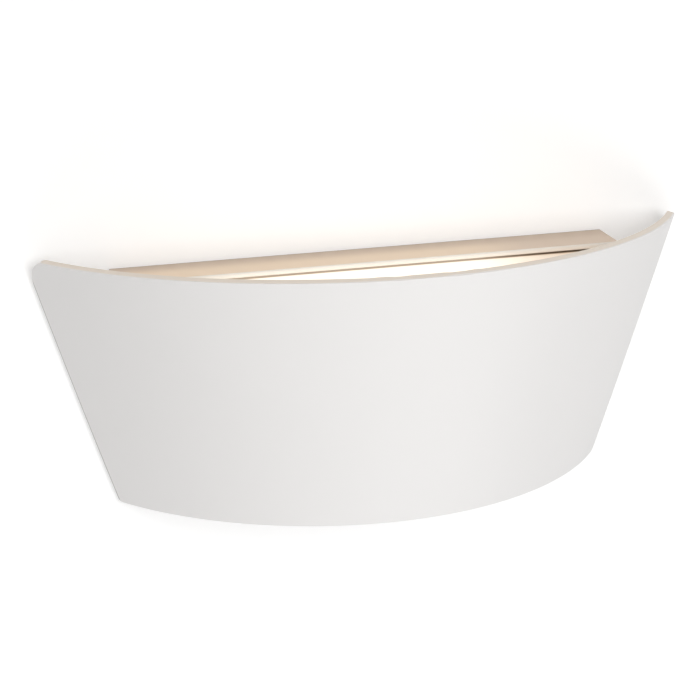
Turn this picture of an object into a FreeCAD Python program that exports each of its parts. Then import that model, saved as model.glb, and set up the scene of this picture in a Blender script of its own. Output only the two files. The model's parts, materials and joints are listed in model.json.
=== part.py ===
"""Uplighter wall sconce: a rolled conical front panel on a slim housing that screws to a wall bracket.

Frame: millimetres, X to the right, Y into the wall, Z up. The origin is the centre of the wall bracket on
the wall's surface, so the wall is the plane Y = 0 and the whole light lies on the negative Y side.
"""
import FreeCAD, Part
import math
import os
import re
import Sketcher
from FreeCAD import Placement, Rotation, Vector

# Driving dimensions in millimetres, angles in degrees: alias, value, meaning.
DIMENSIONS = [
    ("panel_width", 350.0, "front panel, tip to tip along its top edge before the corners are rounded"),
    ("panel_base_width", 262.0, "front panel, width of its bottom edge at the wall"),
    ("panel_height", 133.0, "front panel, bottom edge to the top corners"),
    ("panel_sheet", 4.0, "front panel, sheet thickness"),
    ("cone_inset", 92.0, "distance from the panel's side edges back to the axis it is rolled around"),
    ("rim_rise", 3.0, "angle by which the panel's top edge climbs towards the front"),
    ("top_corner", 14.0, "radius of the panel's top corners, in the sheet"),
    ("bottom_corner", 3.0, "radius of the panel's bottom corners, in the sheet"),
    ("panel_drop", 101.0, "depth of the panel's bottom edge below the bracket's centre line"),
    ("wall_gap", 0.3, "clearance between the wall and what reaches back to it"),
    ("housing_height", 46.0, "housing cover, outside height"),
    ("housing_depth", 22.0, "housing cover, wall to the outside of its front wall"),
    ("housing_side_gap", 6.8, "room between the cover's lower front corners and the panel"),
    ("cover_sheet", 1.2, "housing cover, sheet thickness"),
    ("lip_reach", 4.0, "how far the cover's folded lip stands out over its front wall"),
    ("hem_gap", 0.5, "slot between the two layers of the folded lip"),
    ("bend_radius", 1.2, "outside radius of the folded sheet's bends"),
    ("bracket_sheet", 1.5, "wall bracket, sheet thickness"),
    ("bracket_flange", 12.0, "wall bracket, reach of its top and bottom flanges from the wall"),
    ("bracket_end_gap", 8.75, "room between the bracket's ends and the cover's end walls"),
    ("slide_gap", 0.3, "clearance of the cover over the bracket's flanges"),
    ("slot_inset", 12.0, "wall bracket, slot centre from the bracket's end"),
    ("slot_length", 14.0, "wall bracket, fixing slot end to end"),
    ("slot_width", 5.5, "wall bracket, fixing slot width"),
    ("cover_screw_inset", 28.0, "cover screw from the bracket's end"),
    ("cover_screw_reach", 7.0, "cover screw from the wall"),
    ("cover_screw_length", 7.0, "cover screw, length under its head"),
    ("tray_depth", 17.4, "light tray, inside depth under the diffuser"),
    ("tray_sheet", 1.2, "light tray, sheet thickness"),
    ("tray_gap", 1.0, "clearance between the tray's floor and the panel"),
    ("diffuser_sheet", 2.0, "opal diffuser, thickness"),
    ("diffuser_top_gap", 0.7, "shadow gap between the lip and the diffuser"),
    ("diffuser_side_gap", 1.0, "clearance between the diffuser and the panel"),
    ("post_radius", 3.5, "diffuser post, radius"),
    ("post_inset", 9.0, "diffuser post, distance of its axis from the tray's front and rear walls"),
    ("post_end_gap", 6.0, "rear diffuser post, distance of its axis from the tray's ends"),
    ("diffuser_screw_length", 8.0, "diffuser screw, length under its head"),
    ("front_post_angle", 28.0, "front diffuser posts, angle from the centre line around the panel's axis"),
    ("arm_angle", 22.0, "support arms, angle from the centre line around the panel's axis"),
    ("arm_width", 24.0, "support arm, width"),
    ("arm_sheet", 2.0, "support arm, sheet thickness"),
    ("arm_tab_length", 37.0, "support arm, length of the tab along the panel"),
    ("arm_foot_height", 19.0, "support arm, height of the foot on the housing"),
    ("arm_seat_gap", 0.15, "clearance of the tab's long edges to the panel"),
    ("arm_screw_spread", 14.0, "distance between the two screws of an arm's foot"),
    ("arm_screw_drop", 12.0, "arm screws below the arm's plate"),
    ("arm_screw_length", 8.0, "arm screw, length under its head"),
    ("tray_screw_inset", 10.0, "tray screws from the housing and from the tray's front, along the arm"),
    ("tray_screw_length", 5.0, "tray screw, length under its head"),
    ("stud_pitch", 16.0, "distance between a panel arm's two studs"),
    ("stud_drop", 12.0, "upper stud below the arm's plate, along the panel"),
    ("stud_radius", 2.5, "panel stud, thread radius"),
    ("stud_length", 9.5, "panel stud, length"),
    ("weld_gap", 0.05, "room for the weld between a stud's flat end and the curved panel"),
    ("hole_clearance", 0.25, "radial clearance of a screw or stud in its hole"),
    ("thread_clearance", 0.05, "radial clearance of a screw in its tapped hole"),
    ("small_thread", 1.5, "M3 screw, radius"),
    ("small_head_radius", 2.8, "M3 pan head, radius"),
    ("small_head_height", 1.8, "M3 pan head, height"),
    ("large_thread", 2.0, "M4 screw, radius"),
    ("large_head_radius", 3.7, "M4 pan head, radius"),
    ("large_head_height", 2.4, "M4 pan head, height"),
    ("nut_height", 3.2, "M4 nut, height"),
    ("nut_corner_radius", 4.0, "M4 nut, radius over its corners"),
    ("panel_nut_height", 4.0, "M5 nut, height"),
    ("panel_nut_corner_radius", 4.6, "M5 nut, radius over its corners"),
    ("washer_radius", 5.0, "panel washer, outer radius"),
    ("washer_sheet", 1.0, "panel washer, thickness"),
    ("board_length", 200.0, "light board, length"),
    ("board_width", 14.0, "light board, width"),
    ("board_sheet", 1.6, "light board, thickness"),
    ("chip_count", 16.0, "number of light-emitting chips"),
    ("chip_inset", 16.0, "first chip's centre from the board's left end"),
    ("chip_connector_gap", 4.5, "last chip's centre from the connector"),
    ("chip_length", 3.5, "chip, length along the board"),
    ("chip_width", 2.8, "chip, width"),
    ("chip_height", 0.8, "chip, height"),
    ("board_screw_inset", 5.0, "light board screw from the board's end"),
    ("board_screw_length", 3.0, "light board screw, length under its head"),
    ("connector_length", 8.0, "light board connector, length"),
    ("connector_width", 7.0, "light board connector, width"),
    ("connector_height", 4.0, "light board connector, height"),
    ("connector_inset", 14.0, "light board connector's outer end from the board's end"),
    ("driver_length", 88.0, "driver case, length"),
    ("driver_height", 26.0, "driver case, height up the wall"),
    ("driver_depth", 16.0, "driver case, thickness"),
    ("driver_end_gap", 1.95, "room between the driver's right ear and the lead opening"),
    ("driver_rise", 5.0, "driver case, centre above the bracket's centre line"),
    ("driver_corner", 1.5, "driver case, corner radius"),
    ("supply_port_spread", 8.6, "distance between the driver's two supply ports"),
    ("lead_spread", 3.0, "distance between the driver's two lead ports"),
    ("ear_length", 8.0, "driver ear, length beyond the case"),
    ("ear_height", 10.0, "driver ear, height"),
    ("ear_sheet", 1.5, "driver ear, thickness"),
    ("driver_stud_length", 5.5, "driver stud pressed into the cover, length"),
    ("driver_nut_height", 2.4, "M3 nut, height"),
    ("driver_nut_corner_radius", 3.1, "M3 nut, radius over its corners"),
    ("block_left", 76.0, "terminal block, left end from the centre"),
    ("pole_pitch", 10.0, "terminal block, distance between poles"),
    ("block_height", 18.0, "terminal block, size up the wall"),
    ("block_depth", 14.0, "terminal block, thickness"),
    ("tube_radius", 2.9, "terminal tube, outer radius"),
    ("tube_bore", 1.7, "terminal tube, bore radius"),
    ("tube_reach", 7.0, "terminal tube, axis from the bracket's plate"),
    ("tube_inset", 1.0, "terminal tube, ends inside the block's faces"),
    ("pole_screw_radius", 1.4, "terminal screw, radius"),
    ("pole_screw_length", 3.2, "terminal screw, length"),
    ("pole_screw_inset", 4.6, "terminal screw from the block's face"),
    ("clamp_centre", 36.0, "cord clamp, centre line left of the centre"),
    ("clamp_width", 9.0, "cord clamp, width along the housing"),
    ("clamp_height", 25.0, "cord clamp, length up the wall"),
    ("clamp_depth", 9.0, "cord clamp, thickness"),
    ("clamp_tunnel", 3.6, "cord clamp, radius of the passage for the supply cord"),
    ("clamp_screw_spread", 17.0, "distance between the cord clamp's screws"),
    ("screw_bite", 1.4, "depth of the terminal block's and cord clamp's screws in the bracket"),
    ("entry_left", 16.0, "supply entry, centre line left of the centre"),
    ("entry_radius", 7.0, "supply entry, hole radius in the bracket"),
    ("bush_bore", 4.2, "supply entry bush, bore radius"),
    ("bush_flange_radius", 9.0, "supply entry bush, flange radius"),
    ("bush_flange", 1.5, "supply entry bush, flange thickness"),
    ("bush_nose", 1.5, "supply entry bush, nose beyond its flange"),
    ("bush_wall", 2.0, "supply entry bush, wall of its nose"),
    ("earth_left", 95.0, "earth stud, left of the centre"),
    ("earth_drop", 10.0, "earth stud, below the bracket's centre line"),
    ("earth_stud_length", 9.0, "earth stud, length from the plate"),
    ("tag_sheet", 0.8, "earth tag, thickness"),
    ("tag_radius", 3.8, "earth tag, ring radius"),
    ("tag_barrel_radius", 1.9, "earth tag, crimp barrel radius"),
    ("tag_barrel_length", 7.0, "earth tag, crimp barrel length"),
    ("tag_nut_gap", 0.4, "clearance between the earth nut's corners and the tag's barrel"),
    ("lead_hole_radius", 5.0, "lead opening in the cover and tray, radius"),
    ("lead_hole_inset", 21.0, "lead opening from the cover's end"),
    ("lead_hole_rise", 8.0, "lead opening above the tray's floor"),
    ("lead_bush_wall", 1.2, "lead bush, wall"),
    ("lead_bush_flange", 1.0, "lead bush, flange thickness and overhang"),
    ("mains_wire_radius", 1.1, "supply wire, radius over its sleeve"),
    ("lead_radius", 0.8, "light board lead, radius over its sleeve"),
    ("wire_entry", 2.0, "length of a wire's end inside its port, and its room around the driver's ear"),
    ("wire_slack", 1.0, "sideways lean of the wires above their terminals, and the room between them"),
    ("wire_run", 10.0, "length over which a wire comes down to its port"),
    ("tag_run", 4.0, "straight run of the earth wire before its tag"),
    ("lead_run", 7.0, "straight run of the leads before the light board's connector"),
    ("lead_step", 4.0, "distance between the two leads where they turn to the connector"),
]

# Sizes that follow from the driving ones: name, formula.
LAYOUT = [
    ("base_radius", "hypot(panel_base_width / 2; cone_inset)"),
    ("cone_slope", "(hypot(panel_width / 2; cone_inset) - base_radius) / panel_height"),
    ("slant", "hypot(1; cone_slope)"),
    ("edge_setback", "wall_gap + panel_sheet / slant * cone_inset / base_radius"),
    ("axis_back", "cone_inset - edge_setback"),
    ("inner_radius", "base_radius - panel_sheet * slant + cone_slope * panel_drop"),
    ("half_height", "housing_height / 2"),
    ("housing_half", "sqrt(pow(inner_radius - cone_slope * half_height; 2)"
                     " - pow(axis_back + housing_depth; 2)) - housing_side_gap"),
    ("lip_front", "housing_depth + lip_reach"),
    ("hem_height", "2 * cover_sheet + hem_gap"),
    ("front_inside", "housing_depth - cover_sheet"),
    ("bracket_half", "housing_half - cover_sheet - bracket_end_gap"),
    ("bracket_half_height", "half_height - cover_sheet - slide_gap"),
    ("slot_x", "bracket_half - slot_inset"),
    ("cover_screw_x", "bracket_half - cover_screw_inset"),
    ("diffuser_bottom", "half_height - hem_height - diffuser_top_gap - diffuser_sheet"),
    ("tray_floor", "diffuser_bottom - tray_depth"),
    ("tray_bottom", "tray_floor - tray_sheet"),
    ("tray_radius", "inner_radius + cone_slope * tray_bottom - tray_gap"),
    ("tray_inner_radius", "tray_radius - tray_sheet"),
    ("tray_inner_half", "housing_half - tray_sheet"),
    ("tray_inner_rear", "housing_depth + tray_sheet"),
    ("diffuser_radius", "inner_radius + cone_slope * diffuser_bottom - diffuser_side_gap"),
    ("arm_drop", "tray_bottom - arm_sheet"),
    ("rear_screw_radius", "(axis_back + housing_depth) / cos(arm_angle) + tray_screw_inset"),
    ("front_screw_radius", "tray_radius - tray_screw_inset"),
    ("rear_screw_reach", "rear_screw_radius * cos(arm_angle) - axis_back"),
    ("front_post_reach", "(tray_inner_radius - post_inset) * cos(front_post_angle) - axis_back"),
    ("board_reach", "(rear_screw_reach + small_head_radius + front_post_reach - post_radius) / 2"),
    ("chip_first", "chip_inset - board_length / 2"),
    ("chip_last", "board_length / 2 - connector_inset - connector_length - chip_connector_gap"),
    ("chip_pitch", "(chip_last - chip_first) / (chip_count - 1)"),
    ("lead_x", "housing_half - lead_hole_inset"),
    ("lead_z", "tray_floor + lead_hole_rise"),
    ("driver_start", "lead_x - lead_hole_radius - driver_end_gap - ear_length - driver_length"),
    ("block_length", "3 * pole_pitch"),
]

NODES = []


def make_document():
    """Make the document with its sheet of driving dimensions and the sizes that follow from them."""
    document = FreeCAD.newDocument("wall_sconce")
    table = document.addObject("Spreadsheet::Sheet", "Dims")
    for row, (alias, value, meaning) in enumerate(DIMENSIONS, start=1):
        table.set(f"A{row}", meaning)
        table.set(f"B{row}", str(value))
        table.setAlias(f"B{row}", alias)
    document.recompute()
    layout = document.addObject("App::VarSet", "Layout")
    for name, rule in LAYOUT:
        layout.addProperty("App::PropertyFloat", name, "Layout")
        layout.setExpression(name, formula(rule))
        document.recompute()
    return document, table, layout


def formula(text):
    """Write a formula's dimension names as references to the sheet or to the layout."""
    driving = {alias for alias, _, _ in DIMENSIONS}
    derived = {name for name, _ in LAYOUT}

    def reference(match):
        word = match.group()
        if word in driving:
            return "Dims." + word
        return "Layout." + word if word in derived else word

    return re.sub(r"[a-z_]+", reference, text)


doc, sheet, layout = make_document()


def size(name):
    """The present value of a driving dimension or a layout size."""
    return float(getattr(layout, name) if name in layout.PropertiesList else sheet.get(name))


def bind(thing, **rules):
    """Bind properties of an object to formulas on the named sizes."""
    for prop, text in rules.items():
        thing.setExpression(prop, formula(text))
    return thing


def seat(thing, place):
    """Put an object at a placement, or at three formulas for X, Y and Z."""
    if isinstance(place, Placement):
        thing.Placement = place
    else:
        for axis, text in zip("xyz", place):
            thing.setExpression(f"Placement.Base.{axis}", formula(text))
    return thing


def node(name, thing):
    """Name a finished piece and keep it for export."""
    thing.Label = name
    NODES.append(thing)
    return thing


# ---------------------------------------------------------------- primitives and booleans

def box(name, length, width, height, place):
    """A block whose sizes along X, Y and Z are formulas."""
    block = doc.addObject("Part::Box", name)
    return seat(bind(block, Length=length, Width=width, Height=height), place)


def cylinder(name, radius, height, place):
    """A cylinder along its own Z axis."""
    rod = doc.addObject("Part::Cylinder", name)
    return seat(bind(rod, Radius=radius, Height=height), place)


def hexagon(name, corner_radius, height, place):
    """A hexagonal prism along its own Z axis."""
    prism = doc.addObject("Part::Prism", name)
    prism.Polygon = 6
    return seat(bind(prism, Circumradius=corner_radius, Height=height), place)


def fuse(name, pieces):
    """One solid from several that meet."""
    union = doc.addObject("Part::MultiFuse", name)
    union.Shapes = pieces
    union.Refine = True
    return union


def cut(name, base, tools):
    """A solid with others taken away."""
    difference = doc.addObject("Part::Cut", name)
    difference.Base = base
    difference.Tool = tools[0] if len(tools) == 1 else fuse(name + "_tools", tools)
    return difference


def group(name, pieces):
    """A node of separate identical solids."""
    compound = doc.addObject("Part::Compound", name + "_group")
    compound.Links = pieces
    return node(name, compound)


def facing(direction, point):
    """A placement at a point whose Z axis lies along a direction."""
    return Placement(Vector(*point), Rotation(Vector(0, 0, 1), Vector(*direction)))


FORWARD = (0, -1, 0)
TO_WALL = (0, 1, 0)
UP = (0, 0, 1)
DOWN = (0, 0, -1)


def slid(place, distance):
    """A placement moved along its own Z axis."""
    return place * Placement(Vector(0, 0, distance), Rotation())


def screws(name, places, thread, length):
    """Pan-head screws of a named length: each place seats a head, its Z axis pointing out of the head."""
    made = []
    reach = sum(size(word) for word in length.split(" + "))
    for index, place in enumerate(places):
        head = cylinder(f"{name}_head_{index}", thread + "_head_radius", thread + "_head_height", place)
        shank = cylinder(f"{name}_shank_{index}", thread + "_thread", length, slid(place, -reach))
        made.append(fuse(f"{name}_{index}", [head, shank]))
    return group(name, made)


def rings(name, places, outline, radius, height, bore):
    """Nuts or washers: each place is the face that seats, its Z axis pointing through the ring."""
    made = []
    for index, place in enumerate(places):
        body = outline(f"{name}_body_{index}", radius, height, place)
        hole = cylinder(f"{name}_hole_{index}", bore, height, place)
        made.append(cut(f"{name}_{index}", body, [hole]))
    return group(name, made)


# ---------------------------------------------------------------- bodies and sketches

def new_body(name):
    """An empty body."""
    return doc.addObject("PartDesign::Body", name + "_body")


def new_sketch(body, plane, offset="0"):
    """A sketch on one of the body's origin planes, moved along the plane's normal."""
    sketch = body.newObject("Sketcher::SketchObject", body.Name + "_sketch")
    support = next(part for part in body.Origin.OriginFeatures if part.Role == plane)
    sketch.AttachmentSupport = (support, [""])
    sketch.MapMode = "FlatFace"
    sketch.setExpression("AttachmentOffset.Base.z", formula(offset))
    return sketch


def pin_point(sketch, geometry, end, x_rule, y_rule):
    """Hold one point of a sketch at two formulas, measured from the origin."""
    for kind, rule in (("DistanceX", x_rule), ("DistanceY", y_rule)):
        here = sketch.getPoint(geometry, end)
        value = here.x if kind == "DistanceX" else here.y
        index = sketch.addConstraint(Sketcher.Constraint(kind, -1, 1, geometry, end, value))
        sketch.setExpression(f"Constraints[{index}]", formula(rule))


def draw_polygon(sketch, corners):
    """A closed outline whose corners are pairs of formulas, listed in order."""
    count = len(corners)
    first = sketch.GeometryCount
    for index in range(count):
        start, stop = (2 * math.pi * (index + step) / count for step in (0, 1))
        sketch.addGeometry(Part.LineSegment(Vector(math.cos(start), math.sin(start), 0),
                                            Vector(math.cos(stop), math.sin(stop), 0)), False)
    for index in range(count):
        following = first + (index + 1) % count
        sketch.addConstraint(Sketcher.Constraint("Coincident", first + index, 2, following, 1))
    for index, (x_rule, y_rule) in enumerate(corners):
        pin_point(sketch, first + index, 1, x_rule, y_rule)


def draw_circle(sketch, x_rule, y_rule, radius_rule):
    """A circle with its centre at two formulas."""
    circle = sketch.addGeometry(Part.Circle(Vector(1, 1, 0), Vector(0, 0, 1), 1), False)
    pin_point(sketch, circle, 3, x_rule, y_rule)
    index = sketch.addConstraint(Sketcher.Constraint("Radius", circle, 1))
    sketch.setExpression(f"Constraints[{index}]", formula(radius_rule))


def draw_slot(sketch, x_rule, half_run_rule, radius_rule):
    """A slot along the sketch's X axis, with its centre on that axis."""
    ends = [f"{x_rule} - ({half_run_rule})", f"{x_rule} + ({half_run_rule})"]
    left = sketch.addGeometry(Part.ArcOfCircle(Part.Circle(Vector(-2, 0, 0), Vector(0, 0, 1), 1),
                                               math.pi / 2, 3 * math.pi / 2), False)
    right = sketch.addGeometry(Part.ArcOfCircle(Part.Circle(Vector(2, 0, 0), Vector(0, 0, 1), 1),
                                                -math.pi / 2, math.pi / 2), False)
    top = sketch.addGeometry(Part.LineSegment(Vector(2, 1, 0), Vector(-2, 1, 0)), False)
    bottom = sketch.addGeometry(Part.LineSegment(Vector(-2, -1, 0), Vector(2, -1, 0)), False)
    for first, first_end, second, second_end in ((right, 2, top, 1), (top, 2, left, 1),
                                                 (left, 2, bottom, 1), (bottom, 2, right, 1)):
        sketch.addConstraint(Sketcher.Constraint("Tangent", first, first_end, second, second_end))
    index = sketch.addConstraint(Sketcher.Constraint("Radius", left, 1))
    sketch.setExpression(f"Constraints[{index}]", formula(radius_rule))
    sketch.addConstraint(Sketcher.Constraint("Equal", left, right))
    for arc, rule in ((left, ends[0]), (right, ends[1])):
        pin_point(sketch, arc, 3, rule, "0")


def draw_crescent(sketch, half, rear, radius):
    """The tray's outline: a straight rear edge, two short ends and an arc around the panel's axis."""
    reach, back, bow = size(half), -size(rear), size(radius)
    centre = Vector(0, size("axis_back"), 0)
    turn = math.asin(reach / bow)
    side = centre.y - bow * math.cos(turn)
    rear_edge = sketch.addGeometry(Part.LineSegment(Vector(-reach, back, 0), Vector(reach, back, 0)), False)
    right = sketch.addGeometry(Part.LineSegment(Vector(reach, back, 0), Vector(reach, side, 0)), False)
    front = sketch.addGeometry(Part.ArcOfCircle(Part.Circle(centre, Vector(0, 0, 1), bow),
                                                -math.pi / 2 - turn, -math.pi / 2 + turn), False)
    left = sketch.addGeometry(Part.LineSegment(Vector(-reach, side, 0), Vector(-reach, back, 0)), False)
    for first, first_end, second, second_end in ((rear_edge, 2, right, 1), (right, 2, front, 2),
                                                 (front, 1, left, 1), (left, 2, rear_edge, 1)):
        sketch.addConstraint(Sketcher.Constraint("Coincident", first, first_end, second, second_end))
    for line in (right, left):
        sketch.addConstraint(Sketcher.Constraint("Vertical", line))
    pin_point(sketch, rear_edge, 1, "-" + half, "-" + rear)
    pin_point(sketch, rear_edge, 2, half, "-" + rear)
    pin_point(sketch, front, 3, "0", "axis_back")
    index = sketch.addConstraint(Sketcher.Constraint("Radius", front, bow))
    sketch.setExpression(f"Constraints[{index}]", formula(radius))


def pad(body, sketch, length, symmetric=False):
    """Add material along the sketch's normal."""
    feature = body.newObject("PartDesign::Pad", body.Name + "_pad")
    feature.Profile = sketch
    feature.SideType = "Symmetric" if symmetric else "One side"
    return bind(feature, Length=length)


def pocket(body, sketch, length=None):
    """Remove material against the sketch's normal, or to both sides right through if no length is given."""
    feature = body.newObject("PartDesign::Pocket", body.Name + "_pocket")
    feature.Profile = sketch
    if length is None:
        feature.SideType = "Symmetric"
        feature.Type = "ThroughAll"
        return feature
    return bind(feature, Length=length)


def round_edges(body, chosen, radius):
    """Round the edges of the body's present shape that a test picks out."""
    doc.recompute()
    tip = body.Tip
    names = [f"Edge{index}" for index, edge in enumerate(tip.Shape.Edges, start=1) if chosen(edge)]
    feature = body.newObject("PartDesign::Fillet", body.Name + "_fillet")
    feature.Base = (tip, names)
    return bind(feature, Radius=radius)


def along_x_at(*spots):
    """A test for straight edges along X that lie at one of the given Y and Z values."""
    def test(edge):
        middle = edge.BoundBox.Center
        near = any(math.hypot(middle.y - y, middle.z - z) < 0.01 for y, z in spots)
        return near and edge.BoundBox.XLength > 0.9 * edge.Length
    return test


# ---------------------------------------------------------------- front panel

def panel_frame(angle, height):
    """A placement on the panel's inner face: X along the wall's turn, Y up the sheet, Z out through it."""
    turn = math.radians(angle)
    lean = math.atan(size("cone_slope"))
    radius = size("inner_radius") + size("cone_slope") * height
    point = Vector(radius * math.sin(turn), size("axis_back") - radius * math.cos(turn), height)
    across = Vector(math.cos(turn), math.sin(turn), 0)
    up = Vector(math.sin(turn) * math.sin(lean), -math.cos(turn) * math.sin(lean), math.cos(lean))
    return Placement(point, Rotation(across, up, across.cross(up), "ZXY"))


def panel_outer_face():
    """The panel's outer skin: a cone trimmed level below, at its side edges and along its climbing rim."""
    bottom = -size("panel_drop")
    corner = bottom + size("panel_height")
    spare = size("panel_height")
    slope, radius = size("cone_slope"), size("base_radius")
    cone = Part.makeCone(radius - slope * spare / 4, radius + slope * (1.5 * spare),
                         1.75 * spare, Vector(0, size("axis_back"), bottom - spare / 4))
    skin = next(face for face in cone.Faces if isinstance(face.Surface, Part.Cone))
    edge, far = -size("edge_setback"), -2 * radius
    rim = corner + (edge - far) * math.tan(math.radians(size("rim_rise")))
    outline = [Vector(-2 * radius, y, z) for y, z in ((edge, bottom), (edge, corner), (far, rim),
                                                      (far, bottom), (edge, bottom))]
    trimmer = Part.Face(Part.makePolygon(outline)).extrude(Vector(4 * radius, 0, 0))
    return skin.common(trimmer).Faces[0]


def round_corners(solid, radius, upper):
    """Round the sheet's two upper or two lower corners, whose edges cross the sheet's thickness."""
    middle = size("panel_height") / 2 - size("panel_drop")
    sheet_thickness = size("panel_sheet")
    corners = [edge for edge in solid.Edges
               if abs(edge.Length - sheet_thickness) < 0.01 and (edge.CenterOfMass.z > middle) == upper]
    return solid.makeFillet(radius, corners)


def make_front_panel():
    """A sheet rolled to a cone, its edges cut square to the sheet, which no sketched feature gives."""
    solid = panel_outer_face().makeOffsetShape(-size("panel_sheet"), 0.001, fill=True)
    solid = round_corners(solid, size("top_corner"), upper=True)
    solid = round_corners(solid, size("bottom_corner"), upper=False)
    panel = doc.addObject("Part::Feature", "front_panel_sheet")
    panel.Shape = solid
    return node("front_panel", panel)


# ---------------------------------------------------------------- support arms

SIDES = (("left", -1), ("right", 1))


def stud_places(side):
    """The two stud positions of one arm, on the panel's inner face."""
    top = panel_frame(side * size("arm_angle"), size("tray_bottom"))
    drops = (size("stud_drop"), size("stud_drop") + size("stud_pitch"))
    return [top * Placement(Vector(0, -drop, 0), Rotation(Vector(1, 0, 0), 180)) for drop in drops]


def tab_offset():
    """Distance from the panel's inner face to the arm's flat tab, whose edges nearly touch the curve."""
    radius = size("inner_radius") + size("cone_slope") * (size("tray_bottom") - size("arm_tab_length"))
    return size("arm_width") ** 2 / (8 * radius) + size("arm_seat_gap")


def arm_screw_spots(side):
    """Centres of one arm's two screws on the housing's front wall."""
    turn = math.radians(size("arm_angle"))
    centre = side * (size("axis_back") + size("housing_depth")) * math.tan(turn)
    spread = size("arm_screw_spread") / 2
    height = size("arm_drop") - size("arm_screw_drop")
    return [(centre + step * spread, -size("housing_depth"), height) for step in (-1, 1)]


def tray_screw_spots(side):
    """Centres of the two screws that hold the tray down on one arm."""
    turn = math.radians(side * size("arm_angle"))
    return [(reach * math.sin(turn), size("axis_back") - reach * math.cos(turn), size("tray_floor"))
            for reach in (size("rear_screw_radius"), size("front_screw_radius"))]


def make_arm(side_name, side):
    """A folded strip: a foot on the housing, a plate under the tray and a tab along the panel."""
    name = f"arm_{side_name}"
    top = panel_frame(side * size("arm_angle"), size("tray_bottom"))
    turn = side * size("arm_angle")
    spread = Placement(Vector(0, size("axis_back"), size("arm_drop")), Rotation(Vector(0, 0, 1), turn))
    middle = tab_offset() + size("arm_sheet") / 2
    reach = size("inner_radius") + size("cone_slope") * (size("tray_bottom") - size("arm_sheet") / 2) - middle
    plate = box(name + "_plate", "arm_width", str(reach), "arm_sheet",
                spread * Placement(Vector(-size("arm_width") / 2, -reach, 0), Rotation()))
    behind = box(name + "_behind", "4 * arm_width + 2 * housing_half", "2 * axis_back + housing_depth",
                 "3 * arm_sheet", ("-2 * arm_width - housing_half", "-housing_depth", "arm_drop - arm_sheet"))
    lowest = Vector(-size("arm_width") / 2, -size("arm_tab_length"), -tab_offset() - size("arm_sheet"))
    tab = box(name + "_tab", "arm_width", "arm_tab_length", "arm_sheet", top * Placement(lowest, Rotation()))
    above = box(name + "_above", "2 * housing_half", "2 * inner_radius", "arm_tab_length",
                ("-housing_half", "-2 * inner_radius", "tray_bottom"))
    spots = arm_screw_spots(side)
    centre = (spots[0][0] + spots[1][0]) / 2
    foot = box(name + "_foot", "arm_width", "arm_sheet", "arm_foot_height",
               (f"{centre} - arm_width / 2", "-housing_depth - arm_sheet", "tray_bottom - arm_foot_height"))
    holes = [cylinder(f"{name}_foot_hole_{index}", "large_thread + hole_clearance", "4 * arm_sheet",
                      slid(facing(FORWARD, spot), -size("arm_sheet")))
             for index, spot in enumerate(spots)]
    holes += [cylinder(f"{name}_tab_hole_{index}", "stud_radius + hole_clearance", "4 * arm_sheet", place)
              for index, place in enumerate(stud_places(side))]
    holes += [cylinder(f"{name}_tray_hole_{index}", "small_thread + thread_clearance", "4 * arm_sheet",
                       facing(DOWN, spot))
              for index, spot in enumerate(tray_screw_spots(side))]
    strip = cut(name + "_strip", fuse(name + "_folded", [cut(name + "_front", plate, [behind]),
                                                         cut(name + "_level", tab, [above]), foot]), holes)
    return node(f"support_arm_{side_name}", strip)


def make_arms():
    """Both arms with the hardware that joins them to the panel, the tray and the housing."""
    for side_name, side in SIDES:
        make_arm(side_name, side)
    studs = [place for _, side in SIDES for place in stud_places(side)]
    group("panel_studs", [cylinder(f"panel_stud_{index}", "stud_radius", "stud_length",
                                   slid(place, size("weld_gap"))) for index, place in enumerate(studs)])
    washer_seats = [slid(place, tab_offset() + size("arm_sheet")) for place in studs]
    rings("panel_washers", washer_seats, cylinder, "washer_radius", "washer_sheet",
          "stud_radius + hole_clearance")
    nut_seats = [slid(place, size("washer_sheet")) for place in washer_seats]
    rings("panel_nuts", nut_seats, hexagon, "panel_nut_corner_radius", "panel_nut_height",
          "stud_radius + thread_clearance")
    feet = [spot for _, side in SIDES for spot in arm_screw_spots(side)]
    screws("arm_screws", [slid(facing(FORWARD, spot), size("arm_sheet")) for spot in feet], "large",
           "arm_screw_length")
    nut_faces = [(x, y + size("cover_sheet"), z) for x, y, z in feet]
    rings("arm_nuts", [facing(TO_WALL, spot) for spot in nut_faces], hexagon, "nut_corner_radius",
          "nut_height", "large_thread + thread_clearance")
    tray_spots = [spot for _, side in SIDES for spot in tray_screw_spots(side)]
    screws("tray_screws", [facing(UP, spot) for spot in tray_spots], "small", "tray_screw_length")


# ---------------------------------------------------------------- housing

def make_wall_bracket():
    """A channel on the wall with two fixing slots, the supply entry and tapped holes."""
    body = new_body("wall_bracket")
    high, low = "bracket_half_height", "-bracket_half_height"
    profile = new_sketch(body, "YZ_Plane")
    draw_polygon(profile, [("0", low), ("0", high), ("-bracket_flange", high),
                           ("-bracket_flange", high + " - bracket_sheet"),
                           ("-bracket_sheet", high + " - bracket_sheet"),
                           ("-bracket_sheet", low + " + bracket_sheet"),
                           ("-bracket_flange", low + " + bracket_sheet"), ("-bracket_flange", low)])
    pad(body, profile, "2 * bracket_half", symmetric=True)
    edge = size("bracket_half_height")
    round_edges(body, along_x_at((0, edge), (0, -edge)), "bend_radius")
    plate = new_sketch(body, "XZ_Plane")
    for side in ("-", ""):
        draw_slot(plate, side + "slot_x", "slot_length / 2 - slot_width / 2", "slot_width / 2")
    draw_circle(plate, "-entry_left", "0", "entry_radius")
    for x_rule, z_rule in clamp_screw_rules() + block_screw_rules():
        draw_circle(plate, x_rule, z_rule, "small_thread + thread_clearance")
    pocket(body, plate)
    flange = new_sketch(body, "XY_Plane")
    for side in ("-", ""):
        draw_circle(flange, side + "cover_screw_x", "-cover_screw_reach", "large_thread + thread_clearance")
    pocket(body, flange, "housing_height")
    return node("wall_bracket", body)


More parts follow.
